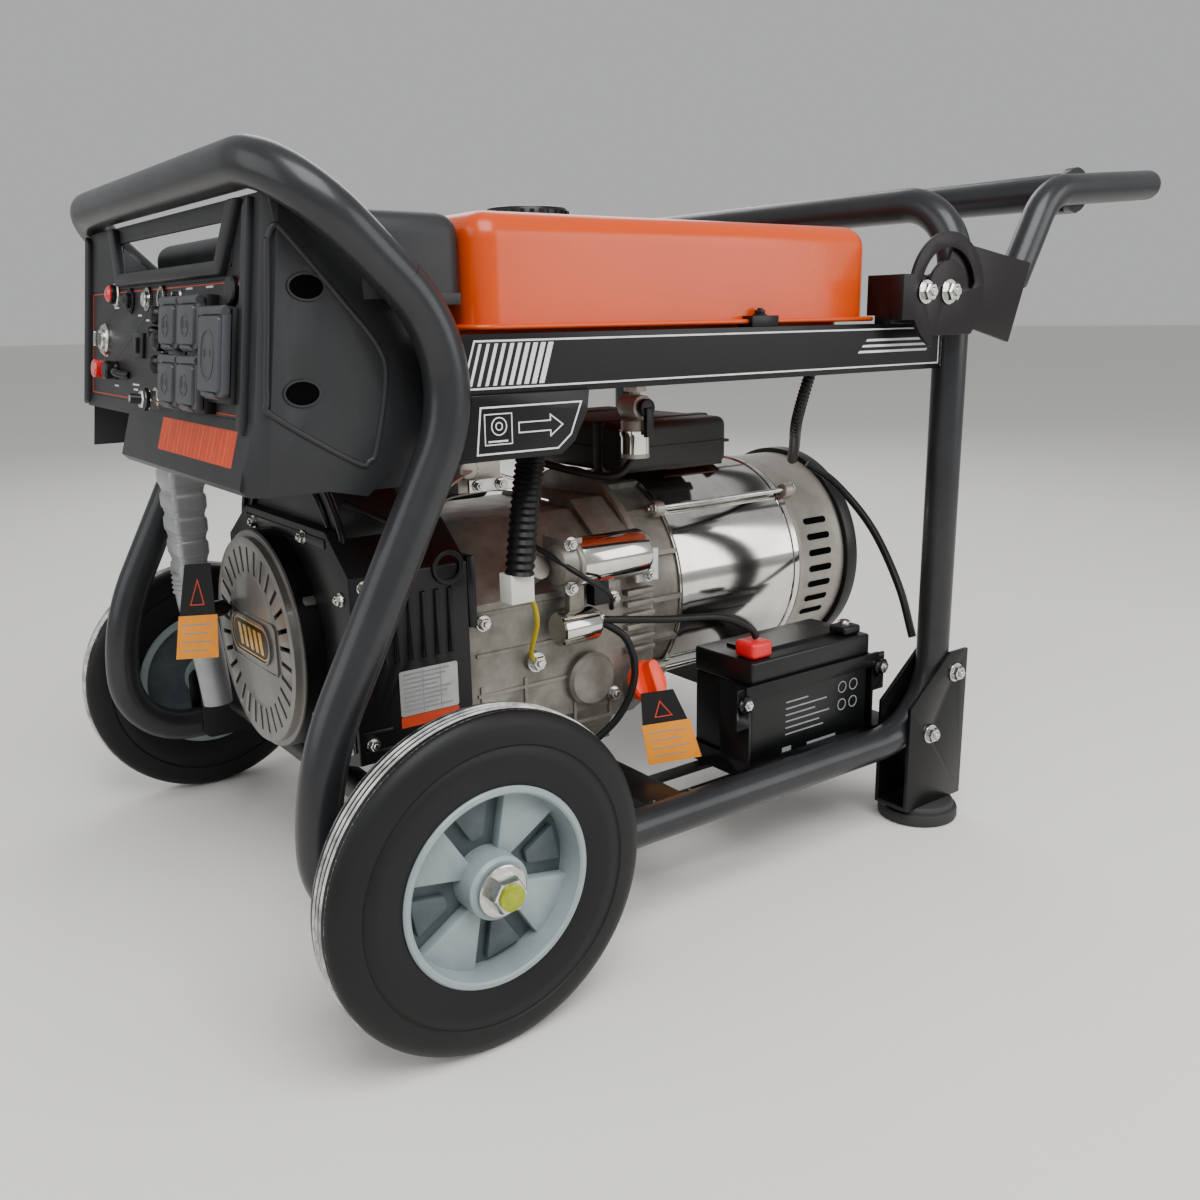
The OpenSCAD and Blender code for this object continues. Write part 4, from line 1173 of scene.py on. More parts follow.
@dataclass
class FoldingHandle:
    """Two bent arms on pivot plates, joined by a cross tube, with the brackets that carry them."""

    pivot: Pair = (519.0, 526.0)
    plate_y: float = 269.0
    arm_y: float = 255.5
    arm_r: float = 15.0
    bend_r: float = 55.0
    bend: Pair = (729.3, 569.7)
    rise: float = 4.5
    lean: float = 60.0
    reach: float = 891.0
    grip_x: float = 770.0
    grip_z: float = 628.0
    bolt_y: float = 278.0
    lock_reach: float = 33.0
    stop_y: float = 216.0

    def arm_path(self, side: int) -> tuple[list[Triple], list[float]]:
        """The middle line of one arm.

        Args:
            side: -1 for the near arm and 1 for the far one.

        Returns:
            Its points and the tube's radius at each.
        """
        rise, lean = math.radians(self.rise), math.radians(self.lean)
        y = side * self.arm_y
        low = (self.bend[0] - self.bend_r * math.sin(lean), self.bend[1] + self.bend_r * math.cos(lean))
        points = [(low[0] - 70 * math.cos(lean), y, low[1] - 70 * math.sin(lean))]
        for k in range(17):
            a = math.radians(90 + self.lean + (self.rise - self.lean) * k / 16)
            points.append(
                (self.bend[0] + self.bend_r * math.cos(a), y, self.bend[1] + self.bend_r * math.sin(a))
            )
        radii = [self.arm_r] * len(points)
        last = points[-1]
        end = self.reach - self.arm_r
        for k in range(9):
            a = math.radians(90 * k / 8)
            x = end + self.arm_r * math.sin(a) * 0.995
            points.append((x, y, last[2] + (x - last[0]) * math.tan(rise)))
            radii.append(max(0.6, self.arm_r * math.cos(a)))
        return points, radii

    def arms(self) -> None:
        """Bends the arms and cuts their plates."""
        for side, word in ((-1, "near"), (1, "far")):
            points, radii = self.arm_path(side)
            Shape().sweep(points, radii, 40).done(
                word + "_arm_tube", CHARCOAL_POWDER, "handle", 50, (word + "_handle_arm",)
            )
            turned = facing_side(self.plate_y, side) @ Matrix.Translation((self.pivot[0], self.pivot[1], 0))
            outline = [
                (8, -21), (32, -30), (103, -47), (131, 27), (12, 45), (6, 30), (2, 21), (-12, 18),
                (-33, 10), (-40, 7), (-43, 0), (-40, -7), (-33, -10), (-12, -18),
            ]
            plate = Shape().prism(outline, 4, turned).soften(0.8)
            plate.done(word + "_arm_plate", BROWN_BLACK, "handle")

    def grip(self) -> None:
        """Turns the cross tube with its collars and the flat stops under it."""
        half = self.arm_y - self.arm_r
        profile = [(0, 0), (18, 0), (22, 0), (22, 9), (21, 10.5), (18, 11)]
        profile += [(r, 2 * half - t) for r, t in profile[::-1]]
        Shape().lathe(profile, along((self.grip_x, -half, self.grip_z), (0, 1, 0)), 48).done(
            "handle_cross_tube", CHARCOAL_POWDER, "handle", replaces=("handle_grip",)
        )
        stops = Shape()
        for side in (-1, 1):
            stops.box(
                (self.grip_x - 19, side * self.stop_y - 16, self.grip_z - 21.5),
                (self.grip_x + 19, side * self.stop_y + 16, self.grip_z - 16),
            )
        stops.soften(1.2).done("handle_stops", BLACK_NYLON, "handle")

    def brackets(self) -> None:
        """Stands up the frame's pivot brackets and all the bolts."""
        for node in ("near_pivot_bracket", "far_pivot_bracket"):
            skin(node, BROWN_BLACK, edge=0.8)
        fixed, moving = Shape(), Shape()
        for side in (-1, 1):
            x, z = self.pivot
            seat = (x, side * self.bolt_y, z)
            fixed.bolt(seat, (0, side, 0), 17).rod(seat, (x, side * 240, z), 5)
            spacer = along((x, side * 264, z), (0, side, 0))
            fixed.lathe([(5, 0), (11, 0), (11, 4.6), (5, 4.6)], spacer, 40, around=True)
            x -= self.lock_reach
            seat = (x, side * (self.bolt_y + 0.4), z)
            moving.bolt(seat, (0, side, 0), 16).rod(seat, (x, side * self.plate_y, z), 4)
        fixed.done("pivot_bolt_heads", ZINC, replaces=("pivot_bolts",))
        moving.done("lock_bolt_heads", ZINC, "handle", replaces=("handle_lock_bolts",))

    def build(self) -> None:
        """Builds the handle."""
        self.arms()
        self.grip()
        self.brackets()


@dataclass
class FuelTank:
    """The pressed tank, its cap, tap and gauge, and the cover in front of it."""

    x0: float = 50.0
    x1: float = 460.0
    half: float = 238.0
    seam_z: float = 505.0
    top_z: float = 583.0
    cap_x: float = 250.0
    cap_ribs: int = 28
    clamp_x: float = 318.0
    gauge: Pair = (345.0, 70.0)

    def body(self) -> None:
        """Presses the upper shell, rolls the seam and hangs the lower pan."""
        shell = Shape().box(
            (self.x0, -self.half, self.seam_z - 40), (self.x1, self.half, self.top_z)
        ).soften(20, 8)
        shell.keep_above((0, 0, self.seam_z - 0.5), (0, 0, 1))
        shell.done("tank_upper_shell", ORANGE_ENAMEL, crease=50, replaces=("fuel_tank",))
        width, length = 2 * self.half + 14, self.x1 - self.x0 + 16
        middle = ((self.x0 + self.x1) / 2, 0)
        rim = rounded(length - 3, width - 3, 17, middle, 8)
        seam = Shape().prism(
            rounded(length, width, 18, middle, 8), 3.5, Matrix.Translation((0, 0, self.seam_z - 3.5))
        ).soften(1.2)
        seam.sweep([(x, y, self.seam_z - 1.6) for x, y in rim + rim[:1]], 2.0, 10)
        seam.prism(
            rounded(length - 32, width - 62, 18, middle, 8), 33.5, Matrix.Translation((0, 0, 468))
        ).soften(1.0, 2, 60)
        seam.done("tank_seam_and_pan", ORANGE_ENAMEL, crease=45)
        pads = Shape()
        x = self.clamp_x
        for side in (-1, 1):
            pads.box((x - 15, side * 241 - 9, 499), (x + 15, side * 241 + 9, 508))
            pads.bolt((x, side * 243, 507.5), (0, 0, 1), 9)
        pads.soften(0.8).done("tank_clamps", BLACK_POWDER)

    def fittings(self) -> None:
        """Makes the filler cap, its neck, the gauge and the tap."""
        neck = Shape().lathe(
            [(28, -4), (32, -4), (36, 0), (32, 3), (32, 6), (28, 6)],
            along((self.cap_x, 0, self.top_z), (0, 0, 1)),
            64,
            around=True,
        )
        neck.done("filler_neck", ORANGE_ENAMEL)
        cap = Shape().lathe(
            [(0, 0), (38, 0), (39, 1), (39, 15), (37, 18.2), (34, 19), (24, 19), (22, 17.4), (0, 17.4)],
            along((self.cap_x, 0, self.top_z + 6.4), (0, 0, 1)),
            96,
        )
        seat = Matrix.Translation((self.cap_x, 0, self.top_z + 6.4))
        for k in range(self.cap_ribs):
            turned = seat @ Matrix.Rotation(k * math.tau / self.cap_ribs, 4, "Z")
            cap.box((38, -2, 2), (40, 2, 15.5), turned)
        cap.box((-20, -3.5, 17), (20, 3.5, 18.9), seat)
        cap.done("filler_cap", BLACK_NYLON, "fuel_cap", replaces=("fuel_cap",))
        gauge = along((*self.gauge, self.top_z - 0.5), (0, 0, 1))
        Shape().lathe(
            [(0, 0), (21, 0), (21, 3.4), (19.5, 4.6), (17, 4.6), (16.4, 3.2), (0, 3.2)], gauge, 48
        ).done("fuel_gauge_rim", BLACK_NYLON)
        Shape().lathe(
            [(0, 3.4), (16, 3.4), (16, 4.0), (0, 4.4)], gauge, 40
        ).box((-1, -1, 4.3), (12, 1, 4.9), gauge).done("fuel_gauge_dial", WHITE_NYLON)
        skin("fuel_valve", DIE_CAST, edge=1.0)
        bowl = Shape().lathe(
            [(0, 0), (9, 0), (12, 2), (13.4, 6), (13.4, 20), (14.6, 22), (14.6, 26), (12, 27)],
            along((283, -120, 382), (0, 0, 1)),
            32,
        )
        bowl.done("sediment_bowl", NICKEL)
        skin("fuel_valve_lever", BLACK_NYLON, "fuel_valve_lever", edge=1.0)

    def cover(self) -> None:
        """Moulds the cover between the shroud and the tank."""
        shape = Shape().box((-30, -229, 470), (49.5, 229, 581)).soften(16, 7)
        shape.keep_above((0, 0, 523), (0, 0, 1))
        shape.done("tank_front_cover", CHARCOAL_ABS, crease=50, replaces=("tank_cover",))
        lip = Shape()
        for side in (-1, 1):
            lip.box((-12, side * 228.4 - 0.8, 519), (44, side * 228.4 + 0.8, 527))
        lip.box((48.8, -210, 519), (49.8, 210, 560))
        lip.soften(0.4).done("cover_lip", CHARCOAL_ABS)

    def build(self) -> None:
        """Builds the tank group."""
        self.body()
        self.fittings()
        self.cover()


@dataclass
class ControlPanel:
    """The moulded shroud with its panel plate, switches, sockets and lids.

    Places on the face are (y, z) pairs in millimetres from the face's own origin.
    """

    half: float = 223.0
    breakers: tuple[float, float, float] = (77.0, 25.0, -12.0)
    breaker_z: float = 38.0
    key: Pair = (157.0, 6.0)
    outlets: tuple[float, float] = (-76.0, -121.0)
    round_outlet: float = -170.0

    def spot(self, y: float, z: float, out: float = 0.6) -> Matrix:
        """A placing on the panel face at (y, z), out from it, with Z outward."""
        return PANEL_FACE @ Matrix.Translation((y, z, out))

    def shroud(self) -> None:
        """Moulds the shroud with the raised borders of its sides and its hand opening."""
        skin("panel_shroud", CHARCOAL_ABS, edge=1.5, segments=3)
        beads = Shape()
        border = [
            (-89, 560), (-94, 505), (-98, 462), (-94, 450), (-40, 416), (-30, 416), (-24, 424), (-14, 470),
            (-18, 492), (-40, 520), (-76, 562), (-84, 568),
        ]
        for side in (-1, 1):
            path = flowing([(x, side * (self.half - 0.4), z) for x, z in border + border[:1]], 5)
            beads.sweep(path, 2.2, 12)
        opening = rounded(283, 34, 8, (-24.5, 72), 5)
        beads.ribbon(opening, 3.0, 2.4, self.spot(0, 0, -1.4))
        beads.done("shroud_borders", CHARCOAL_ABS, crease=60)
        flange = [
            (-86, 586), (-78, 597), (-46, 566), (-14, 534), (4.5, 512), (16, 480), (17.9, 462), (14.5, 436),
            (7, 416), (-8, 396), (-34, 396), (-60, 420),
        ]
        for side, word in ((-1, "near"), (1, "far")):
            Shape().prism(flange[::-1], 3.0, facing_side(self.half - 3.4, side)).soften(0.8).done(
                word + "_shroud_flange", CHARCOAL_ABS
            )
        rings, dark = Shape(), Shape()
        for side in (-1, 1):
            for x, z in ((-66, 531), (-74, 464)):
                oval = [
                    (x + 13 * math.cos(k * math.tau / 40), z + 9 * math.sin(k * math.tau / 40))
                    for k in range(40)
                ]
                face = facing_side(self.half - 0.5, side)
                rings.ribbon(oval, 1.4, 1.5, face)
                # The black ovals inside the rings are painted shade for the vent mouths.
                dark.prism(inset(oval, 1.2), 0.8, face)
        rings.done("vent_rings", CHARCOAL_ABS, crease=60)
        dark.done("vent_mouths", HOLE_BLACK)
        grab = [(-182, 98), (-154, 50), (106, 50), (134, 98), (118, 98), (97, 60), (-145, 60), (-166, 98)]
        Shape().prism(grab, 8, self.spot(0, 0, -1)).soften(2.4, 3, 20).done("hand_grab_edge", CHARCOAL_ABS)
        for side in (-1, 1):
            y = 8 + side * 204
            Shape().prism(
                [(y - side * 4, -50), (y + side * 6, -54), (y + side * 6, 98), (y - side * 4, 92)],
                6.5,
                self.spot(0, 0, -1),
            ).soften(2.0, 3, 20).done(("panel_edge_near", "panel_edge_far")[side > 0], CHARCOAL_ABS)

    def plate(self) -> None:
        """Stands up the panel plate with its orange outline and its plain marks."""
        skin("panel_plate", CHARCOAL_ABS, edge=0.5)
        Shape().ribbon(rounded(398, 88, 3, (4, 2)), 0.8, 0.3, self.spot(0, 0)).done(
            "panel_outline", ORANGE_VINYL
        )
        marks = Shape()
        for y, z, wide in (
            (122, 33, 14), (51, 26, 10), (-12, 22, 16), (25, 22, 16), (-76, 44, 15), (-121, 44, 15),
            (-172, 44, 15), (157, -8, 12), (120, -33, 12), (-30, -6, 12), (60, -30, 18), (60, -34, 12),
        ):
            marks.box((y - wide / 2, z - 0.7, 0), (y + wide / 2, z + 0.7, 0.2), self.spot(0, 0))
        for y in (-48, -12):
            marks.ribbon(rounded(5, 5, 2.4, (y, 0)), 0.6, 0.2, self.spot(0, 0))
        marks.done("panel_marks", WHITE_VINYL)
        strip = [(-106.6, 439), (-113.6, 415), (-112.6, 415), (-105.6, 439)]
        Shape().prism(strip, 166, facing_side(22)).done("pod_strip", ORANGE_VINYL)
        lines = Shape()
        for k in range(19):
            bright = [(-106.9, 438.2), (-113.5, 415.8), (-113.2, 415.8), (-106.5, 438.2)]
            lines.prism(bright, 1.6 + (k % 3), facing_side(26 + k * 8.4))
        lines.done("pod_strip_lines", PALE_ORANGE_VINYL)

    def controls(self) -> None:
        """Fits the lamp, breakers, key switch, terminals, selector and earth stud."""
        black, chrome, red = Shape(), Shape(), Shape()
        red.lathe([(0, 0), (6.8, 0), (6.8, 7.4), (5.6, 9), (3, 10), (0, 10.2)], self.spot(122, 44, 0.4), 32)
        chrome.lathe(
            [(8.2, 0), (10.2, 0), (10.2, 1.6), (9.4, 2.4), (8.2, 2.4)], self.spot(122, 44), 32, around=True
        )
        for y in self.breakers[1:]:
            chrome.lathe(
                [(6.4, 0), (10, 0), (10, 1.6), (9.2, 2.4), (6.4, 2.4)],
                self.spot(y, self.breaker_z),
                40,
                around=True,
            )
        black.lathe(
            [(6.4, 0), (10.4, 0), (10.4, 1.4), (9.4, 2.4), (6.4, 2.4)],
            self.spot(self.breakers[0], self.breaker_z),
            40,
            around=True,
        )
        chrome.lathe(
            [(0, 0), (6.2, 0), (6.2, 1.0), (4, 1.9), (0, 2.2)],
            self.spot(self.breakers[2], self.breaker_z, 0.2),
            32,
        )
        chrome.lathe(
            [(9.2, 0), (14, 0), (14, 2), (12.6, 3.6), (9.2, 3.6)], self.spot(*self.key), 48, around=True
        )
        chrome.lathe([(0, 0), (3.4, 0), (3.4, 1), (1.8, 2), (1.6, 7), (0, 7.6)], self.spot(-56, 40, 0.4), 20)
        for y, shape in ((157, red), (120, black)):
            shape.lathe(
                [(0, 0), (8, 0), (8, 2.6), (7.7, 3.2), (7.7, 5), (8, 6), (8, 10), (6.6, 11.4), (0, 11.4)],
                self.spot(y, -20),
                20,
            )
        black.prism(rounded(16, 19, 2, (48, 2)), 2.2, self.spot(0, 0)).prism(
            rounded(6, 13, 1, (48, 2)), 4.6, self.spot(0, 0)
        )
        black.prism(rounded(40, 32, 4, (-30, 14)), 1.6, self.spot(0, 0, 0)).lathe(
            [(0, 0), (8, 0), (7, 5), (5, 8), (0, 8.4)], self.spot(-30, -10), 20
        )
        black.lathe([(0, 0), (10, 0), (10, 3), (8.6, 4.2), (0, 4.4)], self.spot(self.round_outlet, 40), 32)
        black.sweep(
            flowing(
                [
                    ON_PANEL @ Vector(p)
                    for p in ((-3, 112, -20), (-7, 104, -21), (-8, 92, -22), (-4, 84, -23), (-1, 80, -23))
                ]
            ),
            3.2,
            12,
        )
        for y, z, size in ((-14, 25, 7), (-20, 6, 8), (-8, 12, 5), (-14, -12, 7)):
            black.lathe([(0, 0), (size, 0), (size, 7), (size * 0.7, 10), (0, 11)], self.spot(y, z), 20)
        stud = self.spot(6, -40, -0.8)
        chrome.lathe([(0, 0), (10, 0), (10, 1.4), (0, 1.4)], stud, 32).lathe(
            [(0, 1.4), (8.4, 1.4), (8.4, 6.6), (7, 8), (0, 8)], stud, 6
        )
        chrome.lathe(
            [(0, 8)] + [(4 if k % 2 else 3.5, 8 + k * 0.75) for k in range(17)] + [(3, 20.8), (0, 20.8)],
            stud,
            20,
        )
        chrome.lathe([(0, 8.4), (7.6, 8.4), (7.6, 12), (6.6, 13), (0, 13)], stud, 6)
        red.done("panel_red_parts", RED_LENS)
        chrome.done("panel_bright_parts", ZINC)
        black.soften(0.5, 2, 50).done("panel_black_parts", BLACK_NYLON)
        for body, node, y, finish in (
            ("breaker_button_left", "breaker_buttons_left", self.breakers[0], BLACK_NYLON),
            ("breaker_button_right", "breaker_buttons_right", self.breakers[1], ZINC),
        ):
            cap = Shape().lathe(
                [(0, -6.4), (6, -6.4), (6, 5.2), (5.2, 6.2), (3, 6.4), (2.6, 5.8), (0, 5.8)],
                self.spot(y, self.breaker_z, 0),
                32,
            )
            cap.done(body + "_cap", finish, body, replaces=(node,))
        barrel = Shape().lathe(
            [(0, -12), (9, -12), (9, 5.4), (8, 6.8), (0, 6.8)], self.spot(*self.key, 0), 40
        )
        barrel.done("key_barrel", ZINC, "key_switch", replaces=("key_switch",))
        bow = Shape().prism(rounded(3.0, 13, 1.2, self.key), 5.5, self.spot(0, 0, 6)).soften(0.8)
        bow.done("key_bow", ZINC, "key_switch")
        rocker = Shape.of_node("selector_switch").soften(1.2)
        rocker.done("selector_rocker", BLACK_NYLON, "selector_switch", replaces=("selector_switch",))
        Shape().box((-35, 18, 6.5), (-25, 19.4, 7.4), self.spot(0, 0, -0.2)).done(
            "selector_mark", WHITE_VINYL, "selector_switch"
        )

    def sockets(self) -> None:
        """Fits the socket bodies behind their lids."""
        skin("panel_fittings", BLACK_NYLON, edge=0.8)

    def lid(self, node: str, y: float, low: float, high: float, half: float, round_mark: bool) -> None:
        """Moulds one spring lid.

        Args:
            node: The CAD node, which is also the body's name.
            y: The middle of the socket across the panel.
            low: The lid's lower edge up the face.
            high: Its hinge edge.
            half: Half of its width.
            round_mark: Whether its relief is one large ring.
        """
        middle = (y, (low + high) / 2)
        base = Shape().prism(rounded(2 * half, high - low, 4, middle), 5.6, self.spot(0, 0, 9.4))
        base.prism(
            rounded(2 * half - 6, high - low - 7, 3, (y, middle[1] - 0.5)), 8.2, self.spot(0, 0, 9.4)
        ).soften(1.1, 2, 40)
        base.prism(
            [(y - half * 0.6, 0), (y + half * 0.6, 0), (y + half * 0.45, 5.0), (y - half * 0.45, 5.0)],
            2.0,
            self.spot(0, low, 12.6) @ Matrix.Rotation(math.radians(62), 4, "X"),
        )
        base.rod(
            self.spot(y - half, high - 0.4, 13.6) @ Vector(),
            self.spot(y + half, high - 0.4, 13.6) @ Vector(),
            3.4,
            24,
            0.6,
        )
        mark = 13.0 if round_mark else 8.0
        base.ribbon(
            rounded(2 * mark, 2 * mark * (1.3 if round_mark else 1.0), mark - 0.1, (y, middle[1] - 1), 8),
            1.4,
            0.8,
            self.spot(0, 0, 17.2),
        )
        for k in (-1, 1):
            base.prism(rounded(1.6, 5, 0.7, (y + k * mark * 0.42, middle[1])), 0.7, self.spot(0, 0, 17.3))
        base.done(node + "_cover", GREY_LID, node, 40, (node,))

    def build(self) -> None:
        """Builds the panel."""
        self.shroud()
        self.plate()
        self.sockets()
        self.controls()
        for y, name in zip(self.outlets, "ab"):
            self.lid(f"lid_{name}_top", y, 0, 34, 20, False)
            self.lid(f"lid_{name}_bottom", y, -41, -7, 20, False)
        self.lid("lid_c", self.round_outlet, -30, 26, 23, True)


@dataclass
class Engine:
    """The single-cylinder engine with its cooling shroud, starter and controls."""

    crank_z: float = 242.0
    recoil_x: float = -44.0

    def castings(self) -> None:
        """Casts the crankcase, the gear cover, the cylinder and the head."""
        skin("crankcase", CAST_ALLOY, edge=3.0, segments=3)
        skin("gear_cover", CAST_ALLOY, edge=1.6, segments=2)
        skin("cylinder_head", CAST_ALLOY, edge=0.6)
        skin("crankshaft", GROUND_STEEL, "crankshaft", edge=0.4)
        trim = Shape()
        for z, y in ((150, -137.5), (196, -137.5), (232, -137.5), (268, -137.5)):
            trim.box((96, y - 2.2, z - 1.5), (240, y + 1, z + 1.5))
        for x in (100, 144, 196, 236):
            trim.box((x - 1.5, -139.6, 148), (x + 1.5, -136, 204))
        for k in range(7):
            a = math.radians(200 - k * 38)
            trim.rod(
                (250, 100 * math.cos(a) * 1.1, 238 + 98 * math.sin(a) * 0.9),
                (292, 100 * math.cos(a) * 1.1, 238 + 98 * math.sin(a) * 0.9),
                8,
                24,
                1,
            )
        trim.lathe(
            [(0, 0), (24, 0), (25, 1.5), (25, 8), (22, 11), (0, 11)],
            along((212, -136, 190), (0, -1, 0)),
            40,
        )
        Shape().box((262, -147, 272), (288, -143.6, 302)).soften(1.0).done("cover_plate", WHITE_VINYL)
        trim.done("casting_ribs", CAST_ALLOY)
        bolts = Shape()
        for x, z in ((100, 172), (236, 172), (100, 262), (236, 262)):
            bolts.bolt((x, -144.2, z), (0, -1, 0), 11)
        bolts.bolt((152, -144, 218), (0, -1, 0), 14)
        bolts.bolt((106, -144, 180), (0, -1, 0), 12)
        bolts.bolt((272, -152, 280), (0, -1, 0), 10)
        for k in range(7):
            a = math.radians(200 - k * 38)
            bolts.bolt((249.5, 100 * math.cos(a) * 1.1, 238 + 98 * math.sin(a) * 0.9), (-1, 0, 0), 11)
        bolts.done("engine_bolts", ZINC)

    def cowl(self) -> None:
        """Moulds the arched cowl over the flywheel, with its ribs, and the dark parts behind it."""
        arch = [
            (112 * math.cos(math.radians(a)) - 12, 318 + 92 * math.sin(math.radians(a)))
            for a in range(0, 181, 9)
        ]
        cowl = Shape().prism(arch + [(-124, 300), (100, 300)], 58, facing_front(50)).soften(3.0, 3, 40)
        for k in range(5):
            low, high = arch[4 + k * 3], arch[6 + k * 3]
            cowl.rod((50 - 50, low[0], low[1] - 4), (50, high[0], high[1] - 4), 4, 16)
        cowl.done("fan_cowl", BLACK_NYLON)
        rib = Shape()
        for scale in (1.0, 0.82):
            line = [(-9.4, (y + 12) * scale - 12, 318 + (z - 318) * scale) for y, z in arch]
            rib.sweep(line, 2.6, 12)
        rib.done("fan_cowl_ribs", BLACK_NYLON)
        Shape().box((62, -62, 352), (162, 19, 446)).soften(7, 4).done("intake_box", BLACK_NYLON)
        throttle = Shape().box((104, -106, 366), (146, -61, 400)).rod(
            (112, -112, 386), (112, -62, 386), 9, 32, 1
        )
        throttle.soften(1.6, 2, 40).rod((134, -90, 372), (134, -90, 412), 5, 20, 1)
        throttle.done("carburettor", DIE_CAST)
        links = Shape().sweep(
            flowing([(60, -140, 368), (92, -128, 382), (126, -104, 384), (166, -98, 372)]), 1.5, 8
        )
        links.sweep(flowing([(70, -110, 352), (104, -96, 362), (146, -110, 366), (190, -112, 352)]), 1.3, 8)
        links.box((108, -118, 368), (146, -115, 378)).bolt((116, -118, 373), (0, -1, 0), 8).bolt(
            (138, -118, 373), (0, -1, 0), 8
        )
        links.done("throttle_links", ZINC)
        dark = Shape().sweep(
            flowing(
                [(206, -168, 250), (226, -178, 232), (236, -176, 196), (226, -166, 158), (198, -152, 128)]
            ),
            3.4,
            14,
        )
        dark.sweep(flowing([(150, -150, 322), (172, -184, 300), (200, -186, 280), (214, -172, 262)]), 2.4, 12)
        dark.box((206, -158, 262), (222, -146, 290))
        dark.done("engine_leads", BLACK_PVC)

    def cooling_shroud(self) -> None:
        """Moulds the blower housing with its ribs, its round pad and its plates."""
        skin("blower_housing", BLACK_NYLON, edge=3.0, segments=3)
        detail = Shape()
        detail.lathe(
            [(10, 0), (13.4, 0), (14.4, 1), (14.4, 2.2), (10, 2.2)],
            along((66, -149.8, 316), (0, -1, 0)),
            48,
            around=True,
        )
        for z in (176, 192):
            detail.box((-16, -151.4, z - 1.4), (10, -149, z + 1.4))
        for k in range(5):
            detail.box((-21.6, -146 + k * 9, 176), (-19, -143 + k * 9, 232))
        detail.box(
            (-21.4, -112, 336), (-19, 60, 344)
        ).box((84, -150, 262), (92, -118, 322)).soften(1.0, 2, 50)
        detail.done("housing_details", BLACK_NYLON)
        foil = facing_side(150.3)
        Shape().prism(rounded(53, 38, 2, (44, 218)), 0.3, foil).done("rating_plate", PLATE_FOIL)
        ink = Shape()
        for k in range(9):
            ink.box(
                (21, 202.5 + k * 3.8, 0),
                (21 + (44 - (k * 13) % 17), 204.2 + k * 3.8, 0.2),
                foil @ Matrix.Translation((0, 0, 0.28)),
            )
        for x in (38, 54):
            ink.box((x, 200, 0), (x + 0.7, 236, 0.2), foil @ Matrix.Translation((0, 0, 0.3)))
        ink.done("rating_plate_lines", GREY_INK)
        Shape().prism(rounded(53, 9, 1, (44, 194)), 0.3, foil).done("rating_plate_band", ORANGE_VINYL)
        screws = Shape()
        for x, z in ((-8, 182), (-8, 310), (70, 182)):
            screws.bolt((x, -150, z), (0, -1, 0), 9)
        for y, z in ((-136, 300), (-136, 178), (94, 300), (50, 160), (40, 338), (-70, 340)):
            screws.bolt((-20, y, z), (-1, 0, 0), 9)
        screws.done("housing_screws", ZINC)

    def recoil(self) -> None:
        """Builds the recoil cover with its slots and badge, the pulley and the pull grip."""
        skin("recoil_cover", GREY_LACQUER, edge=0.9)
        face = facing_front(self.recoil_x)
        frame_line = rounded(92, 36, 17.5, (2, self.crank_z + 2), 8)
        dome = Shape().lathe(
            [(0, 1.6), (30, 1.5), (48, 0.9), (56, 0.1), (56, -0.5), (0, -0.5)],
            face @ Matrix.Translation((0, self.crank_z, 0)),
            72,
        )
        dome.ribbon(frame_line, 2.6, 3.4, face).ribbon(
            rounded(110, 46, 8, (0, self.crank_z + 1), 6), 1.4, 1.8, face
        )
        dome.done("recoil_boss", GREY_LACQUER)
        Shape().prism(inset(frame_line, 2.2), 2.2, face).done("badge_field", BLACK_VINYL)
        gilt = Shape().ribbon(inset(frame_line, 3.6), 1.2, 2.6, face)
        for k in range(5):
            low, high, v = -28 + k * 12, -21 + k * 12, self.crank_z
            gilt.prism([(low, v - 8), (high, v - 8), (high + 5, v + 11), (low + 5, v + 11)], 2.6, face)
        gilt.done("badge_bars", GILT)
        side = along((-37.5, 0, self.crank_z), (1, 0, 0))
        Shape().lathe([(94, 0), (96, 1), (96, 17), (94, 17.4)], side, 96, around=True).done(
            "recoil_rim", BLACK_NYLON
        )
        rim = Shape()
        for k in range(6):
            a = math.radians(60 * k + 30)
            rim.lathe(
                [(0, 0), (7, 0), (7, 9), (5.6, 11), (0, 11)],
                along((-20, 90 * math.cos(a), self.crank_z + 90 * math.sin(a)), (-1, 0, 0)),
                24,
            )
        rim.done("recoil_lugs", GREY_LACQUER)
        heads = Shape()
        for k in range(6):
            a = math.radians(60 * k + 30)
            heads.bolt((-31, 90 * math.cos(a), self.crank_z + 90 * math.sin(a)), (-1, 0, 0), 8, washer=False)
        heads.done("recoil_screws", ZINC)
        skin("recoil_pulley", BLACK_NYLON, "recoil_pulley", edge=0.5)
        grip = Shape().lathe(
            [
                (0, -35), (5, -34.4), (8, -31), (9, -26), (8.2, -10), (8.8, 0), (8.2, 10), (9, 26), (8, 31),
                (5, 34.4), (0, 35),
            ],
            along((-70, 52, 262), (0, 0, 1)),
            32,
        )
        grip.lathe([(0, 0), (7.6, 2), (7, 14), (4, 17), (0, 17.6)], along((-64, 52, 262), (1, 0, 0)), 24)
        grip.done("pull_grip", BLACK_NYLON, "recoil_handle", replaces=("recoil_handle",))
        rope = [(-42 - 1.5 * k, 52, 262) for k in range(13)]
        Shape().sweep(rope, 2.4, 12).done(
            "pull_rope", BLACK_PVC, crease=60, stretch=("recoil_handle", rope[1], rope[-1])
        )
        self.tag("pull_tag", (-89, 52, 306), (29, -27, 3), (-6, 8, -86), 0.54, "recoil_handle")

